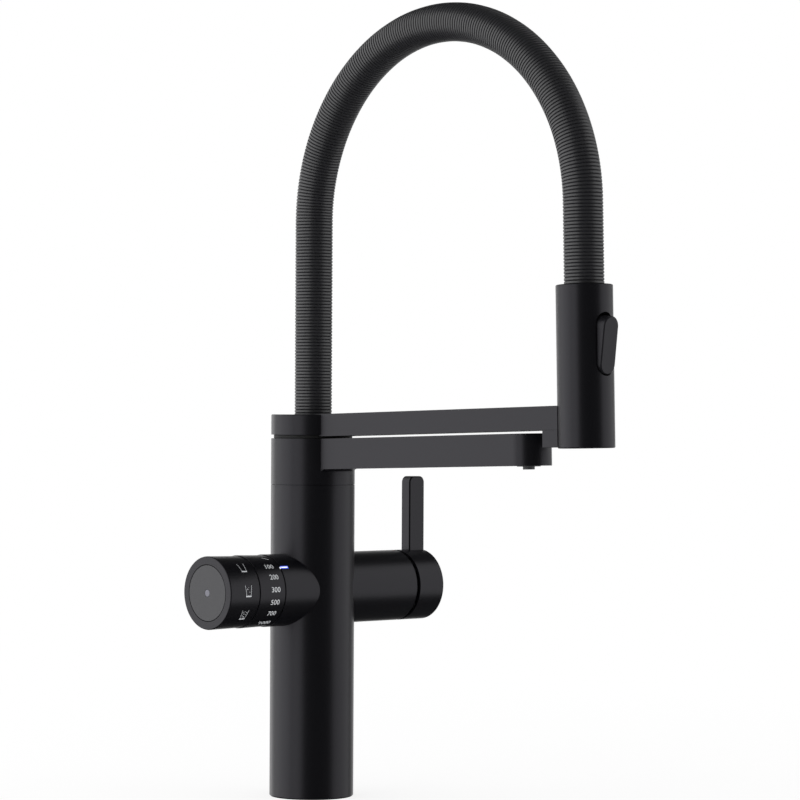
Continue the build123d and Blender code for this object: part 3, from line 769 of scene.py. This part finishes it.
class TAP_OT_column(bpy.types.Operator):
    """Finishes the column with its two sleeves, and the seal under its foot"""

    bl_idname = "tap.column"
    bl_label = "Column"

    def execute(self, context):
        ends = ends_at(CONTROLS, *SLEEVE_ENDS)
        top = ends_at(UPRIGHT, COLUMN_TOP)
        tube = dressed("column", "column_tube", lambda place: ends(place) or top(place))
        column = join([tube, lip(*SLEEVE_LIP, CONTROLS), lip(*TOP_LIP, UPRIGHT)], "column_coated")
        settle(column, "black_paint", "stand", "column", round_sides=(UPRIGHT, CONTROLS))
        refinish("base_gasket", "base_seal", "seal_rubber", "stand")
        return {"FINISHED"}


# Each lip's radius, and where it starts and ends along its axis.
SLEEVE_LIP = (21.0 * MM, 70.9 * MM, 74.4 * MM)
TOP_LIP = (25.0 * MM, 199.8 * MM, 200.45 * MM)
LIP_WALL = 1.1 * MM


def lip(radius, start, end, side):
    """A thin lip that runs from a piece's end up to its neighbour, so that no light passes between them."""
    foot, along, _ = side
    clear_selection()
    bpy.ops.mesh.primitive_cylinder_add(
        vertices=ROUND_STEPS,
        radius=radius,
        depth=end - start,
        end_fill_type="NOTHING",
        location=foot + along * (start + end) / 2,
        rotation=along.to_track_quat("Z", "Y").to_euler(),
    )
    piece = bpy.context.object
    apply_place(piece)
    apply_modifier(piece, "SOLIDIFY", thickness=LIP_WALL, offset=-1)
    return piece


NECK_FIT = 0.22 * MM
FILLET = 3.6 * MM
FILLET_TOP = 210.75 * MM
# How far down and out two points of the fillet's arc lie, as shares of its radius.
FILLET_ARC = ((0.134, 0.5), (0.5, 0.134))
ARM_SIDE = 14.0 * MM
HUB_CUT = 23.0 * MM


def root_fillet():
    """The small hollow fillet under the spout arm, where it grows out of its hub."""
    radius = UPRIGHT[2]
    clear_selection()
    bpy.ops.mesh.primitive_cone_add(
        vertices=ROUND_STEPS,
        radius1=radius,
        radius2=radius + FILLET,
        depth=FILLET,
        location=(0, 0, FILLET_TOP - FILLET / 2),
    )
    fillet = bpy.context.object
    apply_place(fillet)
    bpy.ops.object.mode_set(mode="EDIT")
    for drop, swell in FILLET_ARC:
        height = FILLET_TOP - drop * FILLET
        bpy.ops.mesh.select_all(action="SELECT")
        bpy.ops.mesh.bisect(plane_co=(0, 0, height), plane_no=(0, 0, 1))
        factor = (radius + swell * FILLET) / (radius + (1 - drop) * FILLET)
        bpy.ops.transform.resize(value=(factor, factor, 1), center_override=(0, 0, height))
    cuts = (
        ((0, ARM_SIDE, 0), (0, 1, 0)),
        ((0, -ARM_SIDE, 0), (0, -1, 0)),
        ((HUB_CUT, 0, 0), (-1, 0, 0)),
    )
    for place, away in cuts:
        bpy.ops.mesh.select_all(action="SELECT")
        bpy.ops.mesh.bisect(plane_co=place, plane_no=away, use_fill=True, clear_outer=True)
    edit_done()
    return fillet


class TAP_OT_spout(bpy.types.Operator):
    """Finishes the filtered water spout, its outlet and the dark neck above its hub"""

    bl_idname = "tap.spout"
    bl_label = "Filtered water spout"

    def execute(self, context):
        hub = dressed("water_spout", "spout_hub", ends_at(UPRIGHT, *SPOUT_HUB_ENDS))
        spout = join([hub, root_fillet()], "spout_coated")
        settle(spout, "black_paint", "spout", "water_spout", round_sides=(UPRIGHT,))
        refinish("spout_outlet", "spout_outlet_moulded", "grey_plastic", "spout")
        neck = dressed("hub_spacer", "hub_neck")
        for rise in (NECK_FIT, -NECK_FIT):
            pick(neck, "FACE", lambda place, normal: normal.z * rise > 0.5 * abs(rise))
            bpy.ops.transform.translate(value=(0, 0, rise))
        settle(neck, "black_plastic", "stand", "hub_spacer")
        return {"FINISHED"}


DOCK_EDGE = 0.35 * MM


class TAP_OT_holder(bpy.types.Operator):
    """Finishes the holder arm, its dock block and the collar round the hose"""

    bl_idname = "tap.holder"
    bl_label = "Holder arm"

    def execute(self, context):
        refinish("holder_arm", "holder_arm_coated", "black_paint", "holder", round_sides=(UPRIGHT,))
        refinish("dock_block", "dock_block_coated", "black_paint", "holder", width=DOCK_EDGE)
        refinish("hose_collar", "hose_collar_moulded", "black_plastic", "holder")
        return {"FINISHED"}


class TAP_OT_spray_head(bpy.types.Operator):
    """Finishes the spray head: shell, rocker, outlet plate with its nozzles, and aerator with its grid"""

    bl_idname = "tap.spray_head"
    bl_label = "Spray head"

    def execute(self, context):
        tilt = Matrix.Translation(HEAD_FOOT) @ Matrix.Rotation(-ARM_RISE, 4, "Y")
        shell = dressed("head_shell", "head_shell_coated", ends_at(HEAD_SIDE, *HEAD_ENDS))
        settle(shell, "black_paint", "spray_head", "head_shell", round_sides=(HEAD_SIDE,))
        refinish("spray_switch", "rocker_moulded", "black_plastic", "switch", material=rocker_skin())
        plate = join([dressed("spray_plate", "outlet_plate"), *nozzle_rings(tilt)], "outlet_plate")
        settle(plate, "grey_plastic", "spray_head", "spray_plate")
        grid = join([dressed("aerator", "aerator_moulded"), *aerator_grid(tilt)], "aerator_moulded")
        settle(grid, "grey_plastic", "spray_head", "aerator")
        return {"FINISHED"}


# The radius of each row of nozzles and how many it has.
NOZZLE_ROWS = ((9.9 * MM, 14), (12.9 * MM, 20))
NOZZLE_SIDES = 10
NOZZLE_TIP = 0.45 * MM
NOZZLE_ROOT = 0.75 * MM
NOZZLE_DEPTH = 0.9 * MM
OUTLET_LIFT = 0.55 * MM


def nozzle_rings(frame_of_head):
    """The soft nozzles of the outlet plate, in two rings, each a copy of the first."""
    clear_selection()
    bpy.ops.mesh.primitive_cone_add(
        vertices=NOZZLE_SIDES, radius1=NOZZLE_TIP, radius2=NOZZLE_ROOT, depth=NOZZLE_DEPTH
    )
    first = bpy.context.object
    nozzles = []
    for ring_radius, count in NOZZLE_ROWS:
        for step in range(count):
            angle = math.tau * step / count
            copy = bpy.data.objects.new("nozzle", first.data.copy())
            bpy.context.collection.objects.link(copy)
            place = (ring_radius * math.cos(angle), ring_radius * math.sin(angle), OUTLET_LIFT)
            copy.matrix_world = frame_of_head @ Matrix.Translation(place)
            apply_place(copy)
            nozzles.append(copy)
    bpy.data.objects.remove(first)
    return nozzles


GRID_RINGS = (2.1 * MM, 4.2 * MM, 6.3 * MM)
GRID_WIRE = 0.2 * MM
GRID_BARS = 6
GRID_BAR_SIZE = (15.2 * MM, 0.3 * MM, 0.3 * MM)


def aerator_grid(frame_of_head):
    """The thin grid in the aerator's mouth: rings and bars."""
    parts = []
    for radius in GRID_RINGS:
        clear_selection()
        bpy.ops.mesh.primitive_torus_add(
            major_radius=radius, minor_radius=GRID_WIRE, major_segments=40, minor_segments=8
        )
        parts.append(bpy.context.object)
    for step in range(GRID_BARS):
        clear_selection()
        bpy.ops.mesh.primitive_cube_add(size=1)
        crossbar = bpy.context.object
        crossbar.scale = GRID_BAR_SIZE
        crossbar.rotation_euler.z = math.pi * step / GRID_BARS
        apply_place(crossbar)
        parts.append(crossbar)
    for part in parts:
        part.matrix_world = frame_of_head @ Matrix.Translation((0, 0, OUTLET_LIFT))
        apply_place(part)
    return parts


class TAP_OT_hose(bpy.types.Operator):
    """Models the ribbed hose and the water hose inside it, bending between the hub and the spray head"""

    bl_idname = "tap.hose"
    bl_label = "Hose"

    def execute(self, context):
        sizes = context.scene.tap_sizes
        line, length = hose_line()
        ribs = round(length / sizes.rib_pitch)
        rings = ((0, HOSE_RADIUS - sizes.rib_depth), *((share, HOSE_RADIUS) for share in RIB_SHOULDERS))
        sheath = tube_along(line, "ribbed_hose", 0, length, rings, SHEATH_BORE, ribs)
        plain = ((0, INNER_RADIUS),)
        within = length - 2 * INNER_INSET
        inner = tube_along(line, "inner_water_hose", INNER_INSET, within, plain, INNER_BORE, INNER_RINGS)
        settle(sheath, "hose_rubber", None, "hose_sheath")
        settle(inner, "inner_hose", None, "water_hose")
        for hose in (sheath, inner):
            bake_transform(hose)
        bpy.data.objects.remove(line)
        return {"FINISHED"}


MARK_RADIUS = 1.1 * MM
MARK_SIDE = 68.6 * MM
HOT_ANGLE = math.radians(82)
COLD_ANGLE = math.radians(98)
LEVER_CORNER = 4.1 * MM
LEVER_CORNER_STEPS = 10
LEVER_EDGE = 0.75 * MM


class TAP_OT_mixer(bpy.types.Operator):
    """Finishes the mixer's cap and lever, with the hot and cold dots on the sleeve"""

    bl_idname = "tap.mixer"
    bl_label = "Mixer lever"

    def execute(self, context):
        cap = dressed("lever_cap", "lever_cap_coated", ends_at(CONTROLS, *CAP_ENDS))
        settle(cap, "black_paint", "mixer_lever", "lever_cap", round_sides=(CONTROLS,))
        settle(lever_bar(), "black_paint", "mixer_lever", "lever_bar")
        sleeve = bpy.data.objects.get("column_coated")
        if sleeve is None:
            raise RuntimeError("the column is finished before the mixer")
        for name, angle, ink in (("hot_dot", HOT_ANGLE, hot_ink), ("cold_dot", COLD_ANGLE, cold_ink)):
            drawing = lay_on(dot((0, 0), MARK_RADIUS), MARK_SIDE, angle)
            piece = pressed_on([drawing], sleeve, name)
            settle(piece, "white_plastic", "stand", material=ink())
        return {"FINISHED"}


def lever_bar():
    """The lever bar: a block with its two top corners well rounded and its other edges eased."""
    low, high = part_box("lever_bar")
    clear_selection()
    bpy.ops.mesh.primitive_cube_add(size=1, location=(low + high) / 2)
    bar_piece = bpy.context.object
    bar_piece.name = "lever_bar_coated"
    bar_piece.scale = high - low
    apply_place(bar_piece)
    pick(bar_piece, "EDGE", lambda place, run: abs(run.x) > MM and place.z > high.z - MM)
    bpy.ops.mesh.bevel(offset=LEVER_CORNER, segments=LEVER_CORNER_STEPS, affect="EDGES")
    edit_done()
    ease(bar_piece, LEVER_EDGE, segments=1)
    return bar_piece


# Each amount's text, angle in degrees, place across the tap and length in mm.
DIAL_NUMBERS = (
    ("100", 45.2, -50.9, 6.7),
    ("200", 25.4, -50.7, 7.1),
    ("300", 4.9, -50.7, 7.3),
    ("500", -15.4, -50.7, 7.2),
    ("700", -35.4, -50.7, 6.9),
    ("1000", -58.0, -50.8, 8.6),
)
# Each tick's start, end and width in mm, its angle in degrees and its place in mm.
DIAL_TICKS = (
    ((-1.75, 1.3), (1.75, -1.3), 0.5, 66, -48.4),
    ((0, -1.0), (0, 1.0), 0.3, -55, -56.2),
)
# Each bubble's place in its cup and its radius, in mm.
FEW_BUBBLES = ((-0.9, 1.2, 0.32), (0.8, -0.6, 0.26), (0.1, 2.4, 0.2))
MANY_BUBBLES = (
    (-1.1, 2.2, 0.3),
    (0.2, 2.6, 0.24),
    (1.3, 1.8, 0.32),
    (-0.5, 0.9, 0.34),
    (0.9, 0.3, 0.26),
    (-0.9, -0.7, 0.26),
    (0.3, -1.3, 0.32),
    (1.0, -2.0, 0.22),
    (-0.4, -2.3, 0.22),
)
# Each cup's bubbles, angle in degrees and place across the tap in mm.
DIAL_CUPS = (((), 45.5, -73.2), (FEW_BUBBLES, 4.4, -73.3), (MANY_BUBBLES, -36.0, -73.6))
VOLUME_GAP_REACH = -0.85 * MM
TYPE_GAP_REACH = -0.65 * MM
INDEX_ANGLE = math.radians(42)
INDEX_MIDDLE = -39.2 * MM
INDEX_EDGE = 0.1 * MM
FRINGE_HALF_LENGTH = 2.9 * MM
FRINGE_HALF_WIDTH = 0.75 * MM
FRINGE_END = 0.25 * MM
FRINGE_LINE = 0.5 * MM


def index_fringe():
    """The painted glow round the index: a thin, glowing frame on the sleeve round the white core, standing
    in for the blue light that the index throws.
    """
    lift = bpy.context.scene.tap_sizes.print_lift
    strips = []
    for way in (1, -1):
        long = bar((-FRINGE_HALF_LENGTH, 0), (FRINGE_HALF_LENGTH, 0), FRINGE_LINE)
        angle = INDEX_ANGLE + way * FRINGE_HALF_WIDTH / CONTROLS[2]
        strips.append(lay_on(long, INDEX_MIDDLE, angle, lift))
        short = bar((0, -FRINGE_END), (0, FRINGE_END), FRINGE_LINE)
        strips.append(lay_on(short, INDEX_MIDDLE + way * FRINGE_HALF_LENGTH, INDEX_ANGLE, lift))
    piece = join(strips, "index_fringe")
    apply_modifier(piece, "SOLIDIFY", thickness=lift, offset=-1)
    face_outwards(piece)
    return piece


def dial_amounts(digit):
    """The amounts and the two ticks on the inner ring, laid on it."""
    numbers = [
        lay_on(number(text, length * MM, digit), side * MM, math.radians(angle))
        for text, angle, side, length in DIAL_NUMBERS
    ]
    ticks = []
    for start, end, width, angle, side in DIAL_TICKS:
        tick = bar(Vector(start) * MM, Vector(end) * MM, width * MM)
        ticks.append(lay_on(tick, side * MM, math.radians(angle)))
    return numbers + ticks


class TAP_OT_dial(bpy.types.Operator):
    """Finishes the dial: two rings with their print, the button with its lens, and the lit index"""

    bl_idname = "tap.dial"
    bl_label = "Sparkling water dial"

    def execute(self, context):
        ring = shadow_gap(dressed("volume_ring", "volume_ring_coated"), VOLUME_RING_START, VOLUME_GAP_REACH)
        volume = settle(ring, "black_paint", "volume_dial", "volume_ring", round_sides=(CONTROLS,))
        ring = shadow_gap(dressed("type_ring", "type_ring_coated"), TYPE_RING_START, TYPE_GAP_REACH)
        kind = settle(ring, "black_paint", "type_dial", "type_ring", round_sides=(CONTROLS,))
        refinish("start_button", "start_button_anodised", "button_face", "button")
        refinish("light_guide", "button_lens", "light_lens", "button", material=button_lens_skin())
        refinish("index_light", "index_lens", "light_lens", "stand", width=INDEX_EDGE)
        # Painted glow: a blue glowing frame on the sleeve round the lit index.
        settle(index_fringe(), "light_lens", "stand", material=painted_index_glow())
        amounts = pressed_on(dial_amounts(context.scene.tap_sizes.digit), volume, "amount_print")
        settle(amounts, "white_plastic", "volume_dial", material=print_ink())
        cups = [
            lay_on(cup_sign(bubbles), side * MM, math.radians(angle)) for bubbles, angle, side in DIAL_CUPS
        ]
        signs = pressed_on(cups, kind, "cup_print", cuts=4)
        settle(signs, "white_plastic", "type_dial", material=print_ink())
        return {"FINISHED"}


class TAP_OT_clamp(bpy.types.Operator):
    """Models the threaded shank and finishes the washers and the nut that clamp the tap"""

    bl_idname = "tap.clamp"
    bl_label = "Shank and nut"

    def execute(self, context):
        settle(threaded_shank(context.scene.tap_sizes.thread_pitch), "brass", "stand", "shank")
        refinish("fixing_nut", "fixing_nut_machined", "brass", "stand", width=NUT_EDGE)
        refinish("rubber_washer", "rubber_washer_moulded", "seal_rubber", "stand")
        refinish("steel_washer", "steel_washer_pressed", "steel", "stand")
        return {"FINISHED"}


SHANK_RADIUS = 16.5 * MM
SHANK_BORE = 13.5 * MM
SHANK_LOW = -60.0 * MM
SHANK_HIGH = 12.0 * MM
SHANK_SIDES = 64
# The thread's depth as a share of its pitch, its steps in each turn and the turns it leaves free.
THREAD_DEPTH = 0.55
THREAD_STEPS = 48
THREAD_RUNOUT = 1.5
NUT_EDGE = 0.5 * MM


def threaded_shank(pitch):
    """A tube with a helical ridge wound round it."""
    depth = pitch * THREAD_DEPTH
    root = SHANK_RADIUS - depth
    clear_selection()
    bpy.ops.mesh.primitive_cylinder_add(
        vertices=SHANK_SIDES,
        radius=root,
        depth=SHANK_HIGH - SHANK_LOW,
        location=(0, 0, (SHANK_HIGH + SHANK_LOW) / 2),
    )
    tube = bpy.context.object
    apply_place(tube)
    pick(tube, "FACE", lambda place, normal: abs(normal.z) > 0.9)
    bpy.ops.mesh.inset(thickness=root - SHANK_BORE, use_individual=True)
    bpy.ops.mesh.bridge_edge_loops()
    edit_done()
    clear_selection()
    bpy.ops.mesh.primitive_circle_add(
        vertices=3, radius=depth, location=(root, 0, 0), rotation=(math.pi / 2, 0, math.pi)
    )
    ridge = bpy.context.object
    apply_place(ridge)
    turns = (SHANK_HIGH - SHANK_LOW) / pitch - THREAD_RUNOUT
    edit_all()
    bpy.ops.transform.translate(value=(0, 0, SHANK_LOW + depth))
    edit_done()
    apply_modifier(
        ridge,
        "SCREW",
        angle=math.tau * turns,
        steps=int(THREAD_STEPS * turns),
        render_steps=int(THREAD_STEPS * turns),
        screw_offset=pitch * turns,
    )
    edit_all()
    bpy.ops.mesh.fill_holes(sides=3)
    edit_done()
    shank = join([tube, ridge], "shank_threaded")
    face_outwards(shank)
    return shank


class TAP_OT_inner_works(bpy.types.Operator):
    """Gives every piece inside the tap the finish of its real material"""

    bl_idname = "tap.inner_works"
    bl_label = "Inner works"

    def execute(self, context):
        for node in NODES.values():
            slot = node.data.materials[0].name.split(".")[0]
            if slot not in FINISHES:
                raise RuntimeError(f"no finish for the slot {slot}")
            node.data.materials[0] = FINISHES[slot]()
        return {"FINISHED"}


# ---------------------------------------- stage


# Each lamp's bearing in degrees, width and radiance.
LAMPS = (
    ("left_bank", -88, 1.95, 1.28),
    ("left_fill", -40, 0.9, 1.0),
    ("rear_left_bank", -136, 0.9, 0.95),
    ("right_bank", 93, 2.2, 0.75),
)
BANK_DISTANCE = 1.7
BANK_HEIGHT = 2.5
BANK_MIDDLE = 0.65
FLOOR_SIZE = 12
# How far from the column the floor's shadow starts and ends fading, and how much of it shows.
SHADOW_REACH = (0.25, 0.9)
SHADOW_SHARE = 0.2
# Where the backdrop starts and is full, by a direction's share away from the camera and its rise.
BACKDROP_DEPTH = (0.6, 1.0)
BACKDROP_RISE = (0.5, 0.2)
# What mirrored rays meet elsewhere, and the light that the floor and matt faces get from all sides.
ROOM = 0.04
AMBIENT = 0.75


class TAP_OT_stage(bpy.types.Operator):
    """Sets the pale floor, the soft lamps, the white surroundings and the camera"""

    bl_idname = "tap.stage"
    bl_label = "Studio"

    def execute(self, context):
        context.scene.view_settings.view_transform = "Standard"
        place_camera(context)
        lay_floor()
        light_world(context)
        for lamp in LAMPS:
            softbox(*lamp)
        return {"FINISHED"}


def place_camera(context):
    """The camera, where and how the photograph was taken."""
    clear_selection()
    bpy.ops.object.camera_add(location=CAMERA_PLACE)
    camera = context.object
    camera.name = "photo_camera"
    camera.rotation_mode = "QUATERNION"
    aim = (CAMERA_AIM - CAMERA_PLACE).to_track_quat("-Z", "Y")
    camera.rotation_quaternion = aim @ Quaternion((0, 0, 1), CAMERA_ROLL)
    camera.data.sensor_width = CAMERA_SENSOR
    camera.data.lens = CAMERA_LENS
    camera.data.clip_end = CAMERA_REACH
    context.scene.camera = camera


def met_by(tree, *kinds):
    """One for rays of the given kinds, and nought for others."""
    rays = add_node(tree, "ShaderNodeLightPath").outputs
    met = rays[kinds[0]]
    for kind in kinds[1:]:
        met = add_node(tree, "ShaderNodeMath", {0: met, 1: rays[kind]}, operation="MAXIMUM").outputs[0]
    return met


def lay_floor():
    """A pale worktop that reads as white and keeps the tap's shadow."""
    clear_selection()
    bpy.ops.mesh.primitive_plane_add(size=FLOOR_SIZE)
    floor = bpy.context.object
    floor.name = "worktop_floor"
    material, _ = start_material("matt_white_worktop")
    tree = material.node_tree
    place = add_node(tree, "ShaderNodeTexCoord")
    reach = add_node(tree, "ShaderNodeVectorMath", {0: place.outputs["Object"]}, operation="LENGTH")
    shine = add_node(
        tree,
        "ShaderNodeMapRange",
        {
            "Value": reach.outputs["Value"],
            "From Min": SHADOW_REACH[0],
            "From Max": SHADOW_REACH[1],
            "To Min": 1 - SHADOW_SHARE,
            "To Max": 1.0,
        },
        interpolation_type="SMOOTHSTEP",
    )
    seen = met_by(tree, "Is Camera Ray", "Is Glossy Ray", "Is Transmission Ray")
    white_share = {0: seen, 1: shine.outputs[0]}
    share = add_node(tree, "ShaderNodeMath", white_share, operation="MULTIPLY").outputs[0]
    matt = add_node(tree, "ShaderNodeBsdfDiffuse", {"Color": opaque(linear("FAFAFA"))}).outputs[0]
    white = add_node(tree, "ShaderNodeEmission", {"Color": opaque(WHITE), "Strength": 1.0}).outputs[0]
    mix = add_node(tree, "ShaderNodeMixShader", {0: share, 1: matt, 2: white})
    add_node(tree, "ShaderNodeOutputMaterial", {"Surface": mix.outputs[0]})
    floor.data.materials.append(material)
    floor.visible_glossy = floor.visible_shadow = False


def backdrop_met(tree):
    """How much of the white backdrop a direction meets: it stands behind the tap, level with it."""
    away = (CAMERA_AIM - CAMERA_PLACE).normalized()
    view = add_node(tree, "ShaderNodeTexCoord").outputs["Generated"]
    depth, rise = (
        add_node(
            tree, "ShaderNodeVectorMath", {0: view, 1: tuple(axis)}, operation="DOT_PRODUCT"
        ).outputs["Value"]
        for axis in (away, Vector((0, 0, 1)))
    )
    steepness = add_node(tree, "ShaderNodeMath", {0: rise}, operation="ABSOLUTE").outputs[0]
    behind, level = (
        add_node(
            tree,
            "ShaderNodeMapRange",
            {"Value": value, "From Min": none_at, "From Max": all_at},
            interpolation_type="SMOOTHSTEP",
        ).outputs[0]
        for value, none_at, all_at in ((depth, *BACKDROP_DEPTH), (steepness, *BACKDROP_RISE))
    )
    return add_node(tree, "ShaderNodeMath", {0: behind, 1: level}, operation="MULTIPLY").outputs[0]


def light_world(context):
    """White for the camera and glass, a backdrop and a dim room for the sheen, an even light otherwise."""
    world = bpy.data.worlds.new("white_studio")
    context.scene.world = world
    world.use_nodes = True
    tree = world.node_tree
    tree.nodes.clear()
    sheen = met_by(tree, "Is Glossy Ray")
    seen = met_by(tree, "Is Camera Ray", "Is Transmission Ray")
    white = backdrop_met(tree)
    share = add_node(tree, "ShaderNodeMath", {0: white, 1: ROOM}, operation="MAXIMUM").outputs[0]
    mirrored = add_node(tree, "ShaderNodeMath", {0: sheen, 1: share}, operation="MULTIPLY").outputs[0]
    shown = add_node(tree, "ShaderNodeMath", {0: seen, 1: mirrored}, operation="MAXIMUM").outputs[0]
    other = add_node(tree, "ShaderNodeMath", {0: seen, 1: sheen}, operation="MAXIMUM").outputs[0]
    plain = add_node(
        tree, "ShaderNodeMath", {0: other, 1: -AMBIENT, 2: AMBIENT}, operation="MULTIPLY_ADD"
    ).outputs[0]
    total = add_node(tree, "ShaderNodeMath", {0: shown, 1: plain}, operation="ADD").outputs[0]
    sky = add_node(tree, "ShaderNodeBackground", {"Color": opaque(WHITE), "Strength": total})
    add_node(tree, "ShaderNodeOutputWorld", {"Surface": sky.outputs[0]})


def softbox(name, bearing, width, radiance):
    """An upright soft lamp that faces the tap, at a bearing to the right of the camera's direction."""
    towards = (CAMERA_PLACE - CAMERA_AIM).normalized()
    turn = math.atan2(towards.y, towards.x) + math.radians(bearing)
    place = Vector((BANK_DISTANCE * math.cos(turn), BANK_DISTANCE * math.sin(turn), BANK_MIDDLE))
    clear_selection()
    bpy.ops.object.light_add(type="AREA", location=place)
    lamp = bpy.context.object
    lamp.name = name
    facing = Vector((0, 0, BANK_MIDDLE)) - place
    lamp.rotation_euler = facing.to_track_quat("-Z", "Y").to_euler()
    lamp.data.shape = "RECTANGLE"
    lamp.data.size = width
    lamp.data.size_y = BANK_HEIGHT
    lamp.data.energy = radiance * math.pi * width * BANK_HEIGHT
    lamp.visible_camera = False


# ---------------------------------------- panel and registration


class TAP_PT_panel(bpy.types.Panel):
    """The tap's operators and settings"""

    bl_label = "Tap"
    bl_idname = "TAP_PT_panel"
    bl_space_type = "VIEW_3D"
    bl_region_type = "UI"
    bl_category = "Tap"

    def draw(self, context):
        for operator in OPERATORS:
            self.layout.operator(operator.bl_idname)
        for group in (context.scene.tap_sizes, context.scene.tap_colours):
            for name in group.bl_rna.properties.keys():
                if name not in ("rna_type", "name"):
                    self.layout.prop(group, name)


OPERATORS = (
    TAP_OT_stage,
    TAP_OT_column,
    TAP_OT_spout,
    TAP_OT_holder,
    TAP_OT_spray_head,
    TAP_OT_hose,
    TAP_OT_mixer,
    TAP_OT_dial,
    TAP_OT_clamp,
    TAP_OT_inner_works,
)
CLASSES = (TapSizes, TapColours, *OPERATORS, TAP_PT_panel)


def register():
    for each in CLASSES:
        bpy.utils.register_class(each)
    bpy.types.Scene.tap_sizes = bpy.props.PointerProperty(type=TapSizes)
    bpy.types.Scene.tap_colours = bpy.props.PointerProperty(type=TapColours)


def unregister():
    del bpy.types.Scene.tap_colours
    del bpy.types.Scene.tap_sizes
    for each in reversed(CLASSES):
        bpy.utils.unregister_class(each)


def main():
    register()
    bpy.ops.tap.stage()
    bpy.ops.tap.column()
    bpy.ops.tap.spout()
    bpy.ops.tap.holder()
    bpy.ops.tap.spray_head()
    bpy.ops.tap.hose()
    bpy.ops.tap.mixer()
    bpy.ops.tap.dial()
    bpy.ops.tap.clamp()
    bpy.ops.tap.inner_works()


if __name__ == "__main__":
    main()
